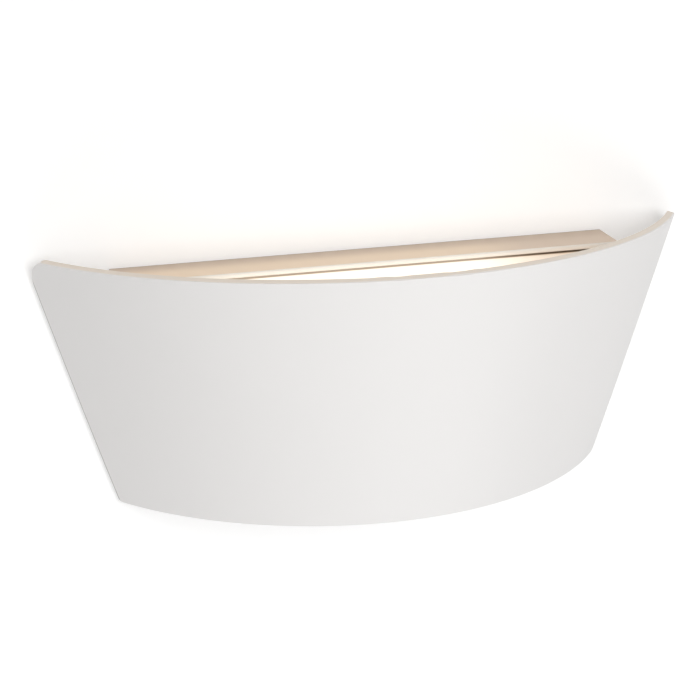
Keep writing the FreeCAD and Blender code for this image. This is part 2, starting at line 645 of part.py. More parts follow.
def make_housing_cover():
    """A folded cover: top with a doubled lip, front wall and bottom from one sheet, and two end walls."""
    body = new_body("housing_cover")
    profile = new_sketch(body, "YZ_Plane")
    top, low = "half_height", "-half_height"
    draw_polygon(profile, [("-wall_gap", top), ("-lip_front", top), ("-lip_front", top + " - hem_height"),
                           ("-housing_depth", top + " - hem_height"), ("-housing_depth", low),
                           ("-wall_gap", low), ("-wall_gap", low + " + cover_sheet"),
                           ("-front_inside", low + " + cover_sheet"),
                           ("-front_inside", top + " - hem_height + cover_sheet"),
                           ("-lip_front + cover_sheet", top + " - hem_height + cover_sheet"),
                           ("-lip_front + cover_sheet", top + " - cover_sheet"),
                           ("-wall_gap", top + " - cover_sheet")])
    pad(body, profile, "2 * housing_half", symmetric=True)
    front, lip, high = -size("housing_depth"), -size("lip_front"), size("half_height")
    bends = along_x_at((lip, high), (lip, high - size("hem_height")), (front, -high))
    round_edges(body, bends, "bend_radius")
    for offset in ("-housing_half", "housing_half - cover_sheet"):
        end = new_sketch(body, "YZ_Plane", offset)
        inside = "-front_inside - cover_sheet / 2"
        draw_polygon(end, [("-wall_gap", top + " - cover_sheet / 2"), (inside, top + " - cover_sheet / 2"),
                           (inside, low + " + cover_sheet / 2"), ("-wall_gap", low + " + cover_sheet / 2")])
        pad(body, end, "cover_sheet")
    add_cover_holes(body)
    add_driver_studs(body)
    return node("housing_cover", body)


def add_cover_holes(body):
    """Holes for the arm screws and the leads in the front wall, and for the cover screws in the bottom."""
    front = new_sketch(body, "XZ_Plane")
    foot_height = "arm_drop - arm_screw_drop"
    for side, spots in ((side, arm_screw_spots(side)) for _, side in SIDES):
        for x, _, _ in spots:
            draw_circle(front, str(x), foot_height, "large_thread + hole_clearance")
    draw_circle(front, "lead_x", "lead_z", "lead_hole_radius")
    pocket(body, front)
    bottom = new_sketch(body, "XY_Plane")
    for side in ("-", ""):
        draw_circle(bottom, side + "cover_screw_x", "-cover_screw_reach", "large_thread + hole_clearance")
    pocket(body, bottom, "housing_height")


def ear_centres():
    """Formulas for the X of the driver's two ear holes."""
    return ("driver_start - ear_length / 2", "driver_start + driver_length + ear_length / 2")


def add_driver_studs(body):
    """Two studs pressed into the front wall, pointing to the wall, for the driver's ears."""
    root = new_sketch(body, "XZ_Plane", "front_inside - driver_stud_length")
    for x_rule in ear_centres():
        draw_circle(root, x_rule, "driver_rise", "small_thread")
    pad(body, root, "driver_stud_length + cover_sheet / 2")


def make_cover_screws():
    """Screws up through the cover's bottom into the bracket's lower flange."""
    spots = [(side * size("cover_screw_x"), -size("cover_screw_reach"), -size("half_height"))
             for _, side in SIDES]
    return screws("cover_screws", [facing(DOWN, spot) for spot in spots], "large",
                  "cover_screw_length")


# ---------------------------------------------------------------- light tray and diffuser

def make_light_tray():
    """An open crescent tray whose straight rear wall lies on the housing's front wall."""
    body = new_body("light_tray")
    outline = new_sketch(body, "XY_Plane", "tray_bottom")
    draw_crescent(outline, "housing_half", "housing_depth", "tray_radius")
    pad(body, outline, "tray_sheet + tray_depth")
    inside = new_sketch(body, "XY_Plane", "diffuser_bottom")
    draw_crescent(inside, "tray_inner_half", "tray_inner_rear", "tray_inner_radius")
    pocket(body, inside, "tray_depth")
    floor = new_sketch(body, "XY_Plane", "tray_floor")
    for _, side in SIDES:
        for x, y, _ in tray_screw_spots(side):
            draw_circle(floor, str(x), str(y), "small_thread + hole_clearance")
    for side in ("-", ""):
        draw_circle(floor, side + board_screw_rule(), "-board_reach", "small_thread + thread_clearance")
    pocket(body, floor, "tray_sheet")
    rear = new_sketch(body, "XZ_Plane", "tray_inner_rear")
    draw_circle(rear, "lead_x", "lead_z", "lead_hole_radius")
    pocket(body, rear, "tray_sheet")
    return node("light_tray", body)


def post_spots():
    """Centres of the four diffuser posts on the tray's floor."""
    rear = -size("tray_inner_rear") - size("post_inset")
    spots = [(side * (size("tray_inner_half") - size("post_end_gap")), rear) for _, side in SIDES]
    reach = size("tray_inner_radius") - size("post_inset")
    for _, side in SIDES:
        turn = side * math.radians(size("front_post_angle"))
        spots.append((reach * math.sin(turn), size("axis_back") - reach * math.cos(turn)))
    return spots


def make_diffuser():
    """The opal plate on the tray's walls, its rear edge under the cover's lip, with its posts and screws."""
    body = new_body("diffuser")
    outline = new_sketch(body, "XY_Plane", "diffuser_bottom")
    draw_crescent(outline, "housing_half", "housing_depth", "diffuser_radius")
    pad(body, outline, "diffuser_sheet")
    holes = new_sketch(body, "XY_Plane")
    for x, y in post_spots():
        draw_circle(holes, str(x), str(y), "small_thread + hole_clearance")
    pocket(body, holes)
    node("diffuser", body)
    tops = [(x, y, size("diffuser_bottom") + size("diffuser_sheet")) for x, y in post_spots()]
    screws("diffuser_screws", [facing(UP, spot) for spot in tops], "small", "diffuser_screw_length")
    posts = []
    for index, (x, y) in enumerate(post_spots()):
        rod = cylinder(f"post_rod_{index}", "post_radius", "tray_depth", (str(x), str(y), "tray_floor"))
        tapped = cylinder(f"post_hole_{index}", "small_thread + thread_clearance", "tray_depth / 2",
                          (str(x), str(y), "tray_floor + tray_depth / 2"))
        posts.append(cut(f"post_{index}", rod, [tapped]))
    group("diffuser_posts", posts)


# ---------------------------------------------------------------- light board

def board_screw_rule():
    """Formula for the distance of a board screw from the centre line."""
    return "(board_length / 2 - board_screw_inset)"


def make_light_board():
    """The board on the tray's floor with its chips, connector and screws."""
    plate = box("board_plate", "board_length", "board_width", "board_sheet",
                ("-board_length / 2", "-board_reach - board_width / 2", "tray_floor"))
    holes = [cylinder(f"board_hole_{index}", "small_thread + hole_clearance", "board_sheet",
                      (side + board_screw_rule(), "-board_reach", "tray_floor"))
             for index, side in enumerate(("-", ""))]
    node("led_board", cut("board_drilled", plate, holes))
    top = "tray_floor + board_sheet"
    chips = [box(f"chip_{index}", "chip_length", "chip_width", "chip_height",
                 (f"chip_first + {index} * chip_pitch - chip_length / 2", "-board_reach - chip_width / 2",
                  top)) for index in range(int(size("chip_count")))]
    group("led_chips", chips)
    plug = box("connector_block", "connector_length", "connector_width", "connector_height",
               ("board_length / 2 - connector_inset - connector_length",
                "-board_reach - connector_width / 2", top))
    sockets = [cylinder(f"connector_socket_{index}", "lead_radius + hole_clearance", "connector_width / 2",
                        facing(FORWARD, spot)) for index, spot in enumerate(connector_spots())]
    node("led_connector", cut("connector_bored", plug, sockets))
    spots = [(side * (size("board_length") / 2 - size("board_screw_inset")), -size("board_reach"),
              size("tray_floor") + size("board_sheet")) for _, side in SIDES]
    screws("board_screws", [facing(UP, spot) for spot in spots], "small", "board_screw_length")


def connector_spots():
    """Centres of the connector's two sockets, on its rear face."""
    middle = size("board_length") / 2 - size("connector_inset") - size("connector_length") / 2
    y = -size("board_reach") + size("connector_width") / 2
    z = size("tray_floor") + size("board_sheet") + size("connector_height") / 2
    apart = size("connector_length") / 4
    return [(middle + side * apart, y, z) for side in (1, -1)]


# ---------------------------------------------------------------- driver

def driver_port_spots(side):
    """Centres of the driver's two ports: for the supply on its left end, for the leads on its right end."""
    y = -size("front_inside") + size("driver_depth") / 2
    if side < 0:
        x = size("driver_start")
        middle, spread = size("driver_rise"), size("supply_port_spread")
    else:
        x = size("driver_start") + size("driver_length")
        middle, spread = size("lead_z"), size("lead_spread")
    return [(x, y, middle + step * spread / 2) for step in (1, -1)]


def make_driver():
    """The driver: a rounded case with two ears, held by nuts on the cover's studs."""
    case = box("driver_block", "driver_length", "driver_depth", "driver_height",
               ("driver_start", "-front_inside", "driver_rise - driver_height / 2"))
    doc.recompute()
    rounded = doc.addObject("Part::Fillet", "driver_rounded")
    rounded.Base = case
    radius = size("driver_corner")
    rounded.Edges = [(index, radius, radius) for index, edge in enumerate(case.Shape.Edges, start=1)
                     if edge.BoundBox.XLength < 0.01 and edge.BoundBox.YLength < 0.01]
    ears = box("driver_ears", "driver_length + 2 * ear_length", "ear_sheet", "ear_height",
               ("driver_start - ear_length", "-front_inside", "driver_rise - ear_height / 2"))
    holes = [cylinder(f"ear_hole_{index}", "small_thread + hole_clearance", "2 * ear_sheet",
                      slid(facing(TO_WALL, (x, -size("front_inside"), size("driver_rise"))), 0))
             for index, x in enumerate(ear_positions())]
    holes += [cylinder(f"driver_port_{side}_{index}", wire + " + hole_clearance", "ear_length / 2",
                       facing((-side, 0, 0), spot))
              for side, wire in ((-1, "mains_wire_radius"), (1, "lead_radius"))
              for index, spot in enumerate(driver_port_spots(side))]
    node("driver", cut("driver_case", fuse("driver_solid", [rounded, ears]), holes))
    seats = [(x, -size("front_inside") + size("ear_sheet"), size("driver_rise")) for x in ear_positions()]
    rings("driver_nuts", [facing(TO_WALL, spot) for spot in seats], hexagon, "driver_nut_corner_radius",
          "driver_nut_height", "small_thread + thread_clearance")


def ear_positions():
    """X of the driver's two ear holes."""
    half_ear = size("ear_length") / 2
    start = size("driver_start")
    return (start - half_ear, start + size("driver_length") + half_ear)


# ---------------------------------------------------------------- terminal block, clamp, entry and earth

def pole_x(pole):
    """X of one of the terminal block's three poles."""
    return -size("block_left") + (pole + 0.5) * size("pole_pitch")


def block_screw_rules():
    """Formulas for the two screws between the terminal block's poles."""
    return [(f"-block_left + {step} * pole_pitch", "0") for step in (1, 2)]


def clamp_screw_rules():
    """Formulas for the cord clamp's two screws."""
    return [("-clamp_centre", f"{sign}clamp_screw_spread / 2") for sign in ("-", "")]


def make_terminal_block():
    """Three poles: a moulded body, brass tubes, their screws and the two fixing screws."""
    moulded = box("block_body", "block_length", "block_depth", "block_height",
                  ("-block_left", "-bracket_sheet - block_depth", "-block_height / 2"))
    bores, tubes, grubs = [], [], []
    for pole in range(3):
        x = str(pole_x(pole))
        y = "-bracket_sheet - tube_reach"
        low = "-block_height / 2"
        seats = pole_screw_places(pole)
        bores.append(cylinder(f"pole_bore_{pole}", "tube_radius + thread_clearance", "block_height",
                              (x, y, low)))
        tube = cylinder(f"pole_tube_{pole}", "tube_radius", "block_height - 2 * tube_inset",
                        (x, y, low + " + tube_inset"))
        passage = cylinder(f"pole_passage_{pole}", "tube_bore", "block_height", (x, y, low))
        tapped = [cylinder(f"pole_tapped_{pole}_{index}", "pole_screw_radius + thread_clearance",
                           "block_depth", spot) for index, spot in enumerate(seats)]
        bores += [cylinder(f"pole_access_{pole}_{index}", "pole_screw_radius + hole_clearance",
                           "block_depth", spot) for index, spot in enumerate(seats)]
        tubes.append(cut(f"pole_barrel_{pole}", tube, [passage] + tapped))
        grubs += [cylinder(f"pole_screw_{pole}_{index}", "pole_screw_radius", "pole_screw_length",
                           slid(spot, size("tube_bore"))) for index, spot in enumerate(seats)]
    bores += [cylinder(f"block_hole_{index}", "small_thread + hole_clearance", "block_depth", spot)
              for index, spot in enumerate(block_screw_places(0))]
    node("terminal_block", cut("block_drilled", moulded, bores))
    group("terminal_tubes", tubes)
    group("terminal_screws", grubs)
    screws("block_screws", block_screw_places(size("block_depth")), "small", "block_depth + screw_bite")


def pole_screw_places(pole):
    """Places on a pole's axis where its two screws bear, facing out of the block."""
    y = -size("bracket_sheet") - size("tube_reach")
    z = size("block_height") / 2 - size("pole_screw_inset")
    return [facing(FORWARD, (pole_x(pole), y, step * z)) for step in (1, -1)]


def block_screw_places(depth):
    """Places between the poles at a depth from the bracket's plate, facing out of the block."""
    y = -size("bracket_sheet") - depth
    return [facing(FORWARD, (-size("block_left") + step * size("pole_pitch"), y, 0)) for step in (1, 2)]


def make_cord_clamp():
    """A moulded bridge over the supply cord, with its two screws."""
    bridge = box("clamp_bridge", "clamp_width", "clamp_depth", "clamp_height",
                 ("-clamp_centre - clamp_width / 2", "-bracket_sheet - clamp_depth", "-clamp_height / 2"))
    middle = -size("clamp_centre")
    rear = -size("bracket_sheet")
    mouth = (middle - size("clamp_width") / 2, rear - size("clamp_tunnel") / 2, 0)
    tunnel = cylinder("clamp_passage", "clamp_tunnel", "clamp_width", facing((1, 0, 0), mouth))
    spots = [(middle, rear, step * size("clamp_screw_spread") / 2) for step in (-1, 1)]
    holes = [cylinder(f"clamp_hole_{index}", "small_thread + hole_clearance", "clamp_depth",
                      facing(FORWARD, spot)) for index, spot in enumerate(spots)]
    node("cord_clamp", cut("clamp_drilled", bridge, [tunnel] + holes))
    seats = [slid(facing(FORWARD, spot), size("clamp_depth")) for spot in spots]
    screws("clamp_screws", seats, "small", "clamp_depth + screw_bite")


def make_entry_bush():
    """A flanged rubber bush in the bracket's supply entry."""
    mouth = facing(FORWARD, (-size("entry_left"), 0, 0))
    shank = cylinder("bush_shank", "entry_radius - thread_clearance", "bracket_sheet", mouth)
    flange = cylinder("bush_rim", "bush_flange_radius", "bush_flange", slid(mouth, size("bracket_sheet")))
    length = "bracket_sheet + bush_flange + bush_nose"
    nose = cylinder("bush_nose_tube", "bush_bore + bush_wall", length, mouth)
    passage = cylinder("bush_passage", "bush_bore", length, mouth)
    return node("entry_bush", cut("bush_bored", fuse("bush_solid", [shank, flange, nose]), [passage]))


def tag_barrel_start():
    """Distance from the earth stud's axis to the near end of the tag's barrel."""
    return size("nut_corner_radius") + size("tag_nut_gap")


def make_earth_point():
    """A stud pressed into the bracket with the ring tag of the earth wire, a washer and a nut."""
    root = facing(FORWARD, (-size("earth_left"), -size("bracket_sheet"), -size("earth_drop")))
    node("earth_stud", cylinder("earth_rod", "large_thread", "earth_stud_length", root))
    ring = cylinder("tag_ring", "tag_radius", "tag_sheet", root)
    neck = box("tag_neck", f"{tag_barrel_start()} + tag_sheet", "tag_sheet", "2 * tag_barrel_radius",
               ("-earth_left", "-bracket_sheet - tag_sheet", "-earth_drop - tag_barrel_radius"))
    side = facing((1, 0, 0), tuple(slid(root, size("tag_barrel_radius")).Base))
    mouth = slid(side, tag_barrel_start())
    barrel = cylinder("tag_barrel", "tag_barrel_radius", "tag_barrel_length", mouth)
    bore = cylinder("tag_bore", "mains_wire_radius + hole_clearance", "tag_barrel_length",
                    slid(mouth, size("tag_sheet")))
    hole = cylinder("tag_hole", "large_thread + hole_clearance", "tag_sheet", root)
    node("earth_tag", cut("tag_bored", fuse("tag_solid", [ring, neck, barrel]), [bore, hole]))
    rings("earth_nut", [slid(root, size("tag_sheet"))], hexagon, "nut_corner_radius", "nut_height",
          "large_thread + thread_clearance")


def make_lead_bush():
    """A flanged bush through the cover's front wall and the tray's rear wall."""
    mouth = facing(FORWARD, (size("lead_x"), -size("front_inside"), size("lead_z")))
    length = "cover_sheet + tray_sheet + lead_bush_flange"
    shank = cylinder("lead_shank", "lead_hole_radius - thread_clearance", length, mouth)
    rim = cylinder("lead_rim", "lead_hole_radius + lead_bush_flange", "lead_bush_flange",
                   slid(mouth, size("cover_sheet") + size("tray_sheet")))
    passage = cylinder("lead_passage", "lead_hole_radius - lead_bush_wall", length, mouth)
    return node("lead_bush", cut("lead_bored", fuse("lead_solid", [shank, rim]), [passage]))


# ---------------------------------------------------------------- wires

def wire_axis(points):
    """Straight runs joined by tangent arcs, each as large as its two runs allow."""
    route = [Vector(*point) for point in points]
    edges, start = [], route[0]
    for before, corner, after in zip(route, route[1:], route[2:]):
        come, leave = (before - corner), (after - corner)
        trim = 0.45 * min(come.Length, leave.Length)
        come.normalize()
        leave.normalize()
        first, last = corner + come * trim, corner + leave * trim
        half_turn = (math.pi - come.getAngle(leave)) / 2
        radius = trim / math.tan(half_turn)
        inward = (come + leave).normalize()
        centre = corner + inward * (radius / math.cos(half_turn))
        middle = centre - inward * radius
        edges.append(Part.LineSegment(start, first).toShape())
        edges.append(Part.Arc(first, middle, last).toShape())
        start = last
    edges.append(Part.LineSegment(start, route[-1]).toShape())
    return Part.Wire(edges)


def wire(name, points, radius_name):
    """A sleeved wire along a route inside the housing, which no sketched feature follows."""
    axis = wire_axis(points)
    heading = Vector(*points[1]) - Vector(*points[0])
    section = Part.Wire(Part.makeCircle(size(radius_name), Vector(*points[0]), heading))
    strand = doc.addObject("Part::Feature", name + "_strand")
    strand.Shape = axis.makePipeShell([section], True, False)
    tightest = min(edge.Curve.Radius for edge in axis.Edges if isinstance(edge.Curve, Part.Circle))
    swept = math.pi * size(radius_name) ** 2 * axis.Length
    print(f"{name}: {axis.Length:.0f} mm long, tightest bend {tightest:.1f} mm, "
          f"volume {strand.Shape.Volume / swept:.3f} of section times length")
    return node(name, strand)


def pole_mouth(pole, end, depth):
    """A point on a pole's axis, inside its tube by a depth from the block's upper or lower face."""
    y = -size("bracket_sheet") - size("tube_reach")
    return (pole_x(pole), y, end * (size("block_height") / 2 - depth))


def make_supply_wires():
    """Live and neutral from the terminal block over the cord clamp to the driver's left end."""
    ceiling = size("bracket_half_height") - size("bracket_sheet") - 2 * size("mains_wire_radius")
    lean, entry = size("wire_slack"), size("wire_entry")
    for index, name in enumerate(("wire_live", "wire_neutral")):
        start = pole_mouth(index, 1, size("pole_screw_inset") / 2)
        port = driver_port_spots(-1)[index]
        level = ceiling - index * (2 * size("mains_wire_radius") + size("wire_slack"))
        down = port[0] - size("ear_length") - entry
        wire(name, [start, (start[0] + lean, start[1] - lean, level),
                    (down - size("wire_run"), port[1], level), (down, port[1], port[2]),
                    (port[0] + entry, port[1], port[2])], "mains_wire_radius")


def make_earth_wire():
    """Earth from the terminal block's third pole down and across to the tag on the bracket."""
    start = pole_mouth(2, -1, size("pole_screw_inset") / 2)
    tag_y = -size("bracket_sheet") - size("tag_barrel_radius")
    tag_x = -size("earth_left") + tag_barrel_start() + size("tag_barrel_length")
    floor = -size("block_height") / 2 - 5 * size("mains_wire_radius")
    lean, height = size("wire_slack"), -size("earth_drop")
    wire("wire_earth", [start, (start[0] - lean, start[1], floor),
                        (tag_x + size("wire_run") + lean, tag_y - lean, floor),
                        (tag_x + size("tag_run"), tag_y, height),
                        (tag_x - size("tag_barrel_length") / 2, tag_y, height)], "mains_wire_radius")


def make_board_leads():
    """Two leads from the driver's right end through the bush to the light board's connector."""
    for index, name in enumerate(("lead_positive", "lead_negative")):
        port = driver_port_spots(1)[index]
        plug = connector_spots()[index]
        across = size("lead_x") + port[2] - size("lead_z")
        turn_y = plug[1] + size("lead_run") + index * size("lead_step")
        entry = size("wire_entry")
        wire(name, [(port[0] - entry, port[1], port[2]), (across, port[1], port[2]),
                    (across, turn_y, port[2]), (plug[0], turn_y, plug[2]),
                    (plug[0], plug[1] - entry, plug[2])], "lead_radius")


# ---------------------------------------------------------------- build, check and export

def build():
    """Make every piece."""
    make_front_panel()
    make_arms()
    make_wall_bracket()
    make_housing_cover()
    make_cover_screws()
    make_light_tray()
    make_diffuser()
    make_light_board()
    make_driver()
    make_terminal_block()
    make_cord_clamp()
    make_entry_bush()
    make_earth_point()
    make_lead_bush()
    make_supply_wires()
    make_earth_wire()
    make_board_leads()
    doc.recompute()


def check():
    """Stop if any object failed or any piece isn't a valid shape of solids."""
    for thing in doc.Objects:
        if "Invalid" in thing.State or "Error" in thing.State:
            raise RuntimeError(f"{thing.Name} failed: {thing.State}")
    for piece in NODES:
        shape = piece.Shape
        if shape.isNull() or not shape.isValid() or not shape.Solids:
            raise RuntimeError(f"{piece.Label} has no valid shape")


def export():
    """Write each piece to its own file."""
    os.makedirs("parts", exist_ok=True)
    for piece in NODES:
        piece.Shape.exportStep(f"parts/{piece.Label}.step")
        print(f"{piece.Label}: {len(piece.Shape.Solids)} solids, {piece.Shape.Volume:.0f} mm3")


build()
check()
export()
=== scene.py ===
"""Looks of the uplighter wall sconce: its finishes, its rolled front panel and its hardware, on a pale stage.

Lengths are in metres in the part's own frame: X to the right, Y into the wall, Z up, with the origin at the
centre of the wall bracket on the wall's surface.
"""
from __future__ import annotations

import json
import logging
import math
from dataclasses import dataclass
from enum import Enum
from typing import Callable, Iterable, Sequence

import bmesh
import bpy
from mathutils import Matrix, Vector

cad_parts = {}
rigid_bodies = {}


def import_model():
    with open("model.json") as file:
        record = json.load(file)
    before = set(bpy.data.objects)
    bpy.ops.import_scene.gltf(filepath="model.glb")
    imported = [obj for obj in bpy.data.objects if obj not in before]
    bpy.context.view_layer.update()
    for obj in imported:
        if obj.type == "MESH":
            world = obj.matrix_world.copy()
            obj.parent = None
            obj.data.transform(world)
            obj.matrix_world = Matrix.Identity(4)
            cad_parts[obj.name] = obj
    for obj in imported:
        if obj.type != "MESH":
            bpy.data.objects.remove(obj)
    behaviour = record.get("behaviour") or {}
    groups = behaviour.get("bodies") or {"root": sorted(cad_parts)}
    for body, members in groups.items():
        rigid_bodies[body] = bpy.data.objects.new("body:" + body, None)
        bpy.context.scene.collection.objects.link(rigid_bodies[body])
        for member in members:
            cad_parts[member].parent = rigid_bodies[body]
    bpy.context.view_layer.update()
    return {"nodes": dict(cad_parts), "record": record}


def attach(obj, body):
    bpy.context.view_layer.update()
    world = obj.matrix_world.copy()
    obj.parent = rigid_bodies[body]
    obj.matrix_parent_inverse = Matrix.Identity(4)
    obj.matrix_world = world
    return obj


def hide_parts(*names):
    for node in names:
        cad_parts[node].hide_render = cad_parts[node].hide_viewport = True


LOG = logging.getLogger("sconce")
MM = 0.001
BODY = "root"
WELD = 0.002 * MM
WHITE = (1.0, 1.0, 1.0)
Number = float | int


# ---------------------------------------------------------------- shader expressions

class Expr:
    """A shader socket or a plain number that takes part in expressions."""

    def __init__(self, graph: "Graph", value: bpy.types.NodeSocket | Number) -> None:
        """Wrap a value.

        Args:
            graph: the graph that adds the nodes of this expression.
            value: an output socket, or a number.
        """
        self.graph = graph
        self.value = value

    def _math(self, operation: str, *operands: "Expr | Number", clamp: bool = False) -> "Expr":
        """Add one Math node.

        Args:
            operation: the node's operation.
            operands: its inputs, in order.
            clamp: whether the result is held between 0 and 1.

        Returns:
            The node's result.
        """
        node = self.graph.tree.nodes.new("ShaderNodeMath")
        node.operation = operation
        node.use_clamp = clamp
        for socket, operand in zip(node.inputs, operands):
            self.graph.feed(socket, operand)
        return Expr(self.graph, node.outputs[0])

    def __add__(self, other: "Expr | Number") -> "Expr":
        """Sum."""
        return self._math("ADD", self, other)

    __radd__ = __add__

    def __sub__(self, other: "Expr | Number") -> "Expr":
        """Difference."""
        return self._math("SUBTRACT", self, other)

    def __rsub__(self, other: "Expr | Number") -> "Expr":
        """Difference from a number."""
        return self._math("SUBTRACT", other, self)

    def __mul__(self, other: "Expr | Number") -> "Expr":
        """Product."""
        return self._math("MULTIPLY", self, other)

    __rmul__ = __mul__

    def __truediv__(self, other: "Expr | Number") -> "Expr":
        """Quotient."""
        return self._math("DIVIDE", self, other)

    def wave(self) -> "Expr":
        """Sine."""
        return self._math("SINE", self)

    def step(self, low: float, high: float) -> "Expr":
        """Smooth step.

        Args:
            low: where the result is 0.
            high: where the result is 1; it may be below low.

        Returns:
            A value that climbs smoothly from 0 to 1.
        """
        share = (self - low) / (high - low)
        ramp = share._math("ADD", share, 0.0, clamp=True)
        return ramp * ramp * (3.0 - 2.0 * ramp)


class Graph:
    """A node graph, of a material or of the world."""

    def __init__(self, tree: bpy.types.NodeTree, output: str) -> None:
        """Leave only an output in a tree.

        Args:
            tree: the tree.
            output: the type of its output node.
        """
        self.tree = tree
        self.tree.nodes.clear()
        self.output = self.node(output)

    def feed(self, socket: bpy.types.NodeSocket, value: object) -> None:
        """Give a socket a link or a constant.

        Args:
            socket: the input.
            value: an expression, a socket, a number, a colour or a vector.
        """
        if isinstance(value, Expr):
            value = value.value
        if isinstance(value, bpy.types.NodeSocket):
            self.tree.links.new(value, socket)
        elif isinstance(value, tuple) and socket.type == "RGBA":
            socket.default_value = (*value[:3], 1.0)
        else:
            socket.default_value = value

    def node(self, kind: str, settings: dict | None = None, **sockets: object) -> bpy.types.Node:
        """Add a node.

        Args:
            kind: the node's type.
            settings: its properties, which are set first.
            sockets: values or links of its inputs; an underscore stands for a space.

        Returns:
            The node.
        """
        made = self.tree.nodes.new(kind)
        for key, value in (settings or {}).items():
            setattr(made, key, value)
        for key, value in sockets.items():
            self.feed(made.inputs[key.replace("_", " ")], value)
        return made

    def close(self, shader: bpy.types.Node) -> None:
        """Link a shader to the output."""
        self.tree.links.new(shader.outputs[0], self.output.inputs[0])

    def switch(self, share: bpy.types.NodeSocket, first: bpy.types.Node, second: bpy.types.Node) -> None:
        """Close the graph with a blend of two shaders.

        Args:
            share: how much of the second.
            first: a shader.
            second: a shader.
        """
        mixed = self.node("ShaderNodeMixShader")
        for socket, value in zip(mixed.inputs, (share, first.outputs[0], second.outputs[0])):
            self.feed(socket, value)
        self.close(mixed)


class Surface(Graph):
    """The node graph of one material, in the coordinates of the piece that wears it."""

    def __init__(self, name: str) -> None:
        """Start a material that has only its output, in place of the frame's plain one.

        Args:
            name: the material's name.
        """
        self.material = bpy.data.materials.get(name) or bpy.data.materials.new(name)
        self.material.use_nodes = True
        super().__init__(self.material.node_tree, "ShaderNodeOutputMaterial")
        self.place = self.node("ShaderNodeTexCoord").outputs["Object"]

    def axes(self) -> tuple[Expr, Expr, Expr]:
        """The point's X, Y and Z in metres."""
        split = self.node("ShaderNodeSeparateXYZ", Vector=self.place)
        return tuple(Expr(self, split.outputs[i]) for i in range(3))

    def noise(self, scale: float, detail: float = 3.0, stretch: Sequence[float] = (1, 1, 1)) -> Expr:
        """Fractal noise on the piece.

        Args:
            scale: features per metre.
            detail: octaves.
            stretch: factors on X, Y and Z.

        Returns:
            A value around 0.5.
        """
        where = self.node("ShaderNodeMapping", Vector=self.place, Scale=tuple(stretch)).outputs[0]
        made = self.node("ShaderNodeTexNoise", Vector=where, Scale=scale, Detail=detail)
        return Expr(self, made.outputs[0])

    def cells(self, scale: float, output: str = "Distance") -> Expr:
        """Voronoi cells on the piece.

        Args:
            scale: cells per metre.
            output: which output is read.

        Returns:
            The output, as a value.
        """
        made = self.node("ShaderNodeTexVoronoi", Vector=self.place, Scale=scale)
        return Expr(self, made.outputs[output])

    def mix(self, share: Expr | Number, first: object, second: object) -> bpy.types.NodeSocket:
        """Blend two colours.

        Args:
            share: how much of the second.
            first: a colour or link.
            second: a colour or link.

        Returns:
            The blended colour.
        """
        made = self.node("ShaderNodeMix", {"data_type": "RGBA"})
        self.feed(made.inputs[0], share)
        self.feed(made.inputs[6], first)
        self.feed(made.inputs[7], second)
        return made.outputs[2]

    def bump(self, height: Expr, distance: float) -> bpy.types.NodeSocket:
        """Turn a height into a normal.

        Args:
            height: the relief.
            distance: its depth in metres.

        Returns:
            The normal.
        """
        return self.node("ShaderNodeBump", Strength=1.0, Distance=distance, Height=height).outputs[0]

    def finish(self, **sockets: object) -> bpy.types.Material:
        """Close the graph with a Principled shader.

        Args:
            sockets: its inputs; an underscore stands for a space.

        Returns:
            The material.
        """
        self.close(self.node("ShaderNodeBsdfPrincipled", **sockets))
        return self.material


Colour = tuple[float, float, float]


def scaled(colour: Colour, factor: float) -> Colour:
    """A colour made lighter or darker."""
    return tuple(min(1.0, channel * factor) for channel in colour)


# ---------------------------------------------------------------- finishes

@dataclass(frozen=True)
class Paint:
    """Powder coat or paint on sheet metal: a faint orange peel, cloudy gloss and a few specks."""

    name: str
    colour: Colour
    roughness: float = 0.5
    peel_depth: float = 0.000012
    cloud: float = 0.012
    cloud_scale: float = 9.0
    peel_scale: float = 900.0
    grain_scale: float = 5200.0
    speck_scale: float = 260.0
    speck_share: float = 0.12
    speck_shade: float = 0.72

    def base_colour(self, graph: Surface, clouds: Expr) -> bpy.types.NodeSocket:
        """The paint's colour, a little lighter and darker in soft clouds."""
        return graph.mix(clouds, scaled(self.colour, 1 - self.cloud), scaled(self.colour, 1 + self.cloud))

    def material(self) -> bpy.types.Material:
        """Build the paint.

        Returns:
            The material.
        """
        graph = Surface(self.name)
        clouds = graph.noise(self.cloud_scale, 4.0)
        peel = graph.noise(self.peel_scale, 2.0)
        grain = graph.noise(self.grain_scale, 1.0)
        specks = graph.cells(self.speck_scale).step(0.045, 0.02) * graph.noise(40.0).step(0.62, 0.7)
        base, dark = self.base_colour(graph, clouds), scaled(self.colour, self.speck_shade)
        tinted = graph.mix(specks * self.speck_share, base, dark)
        rough = self.roughness + (clouds - 0.5) * 0.08 + (grain - 0.5) * 0.06
        normal = graph.bump(peel + grain * 0.3, self.peel_depth)
        return graph.finish(Base_Color=tinted, Roughness=rough, Normal=normal, IOR=1.5)


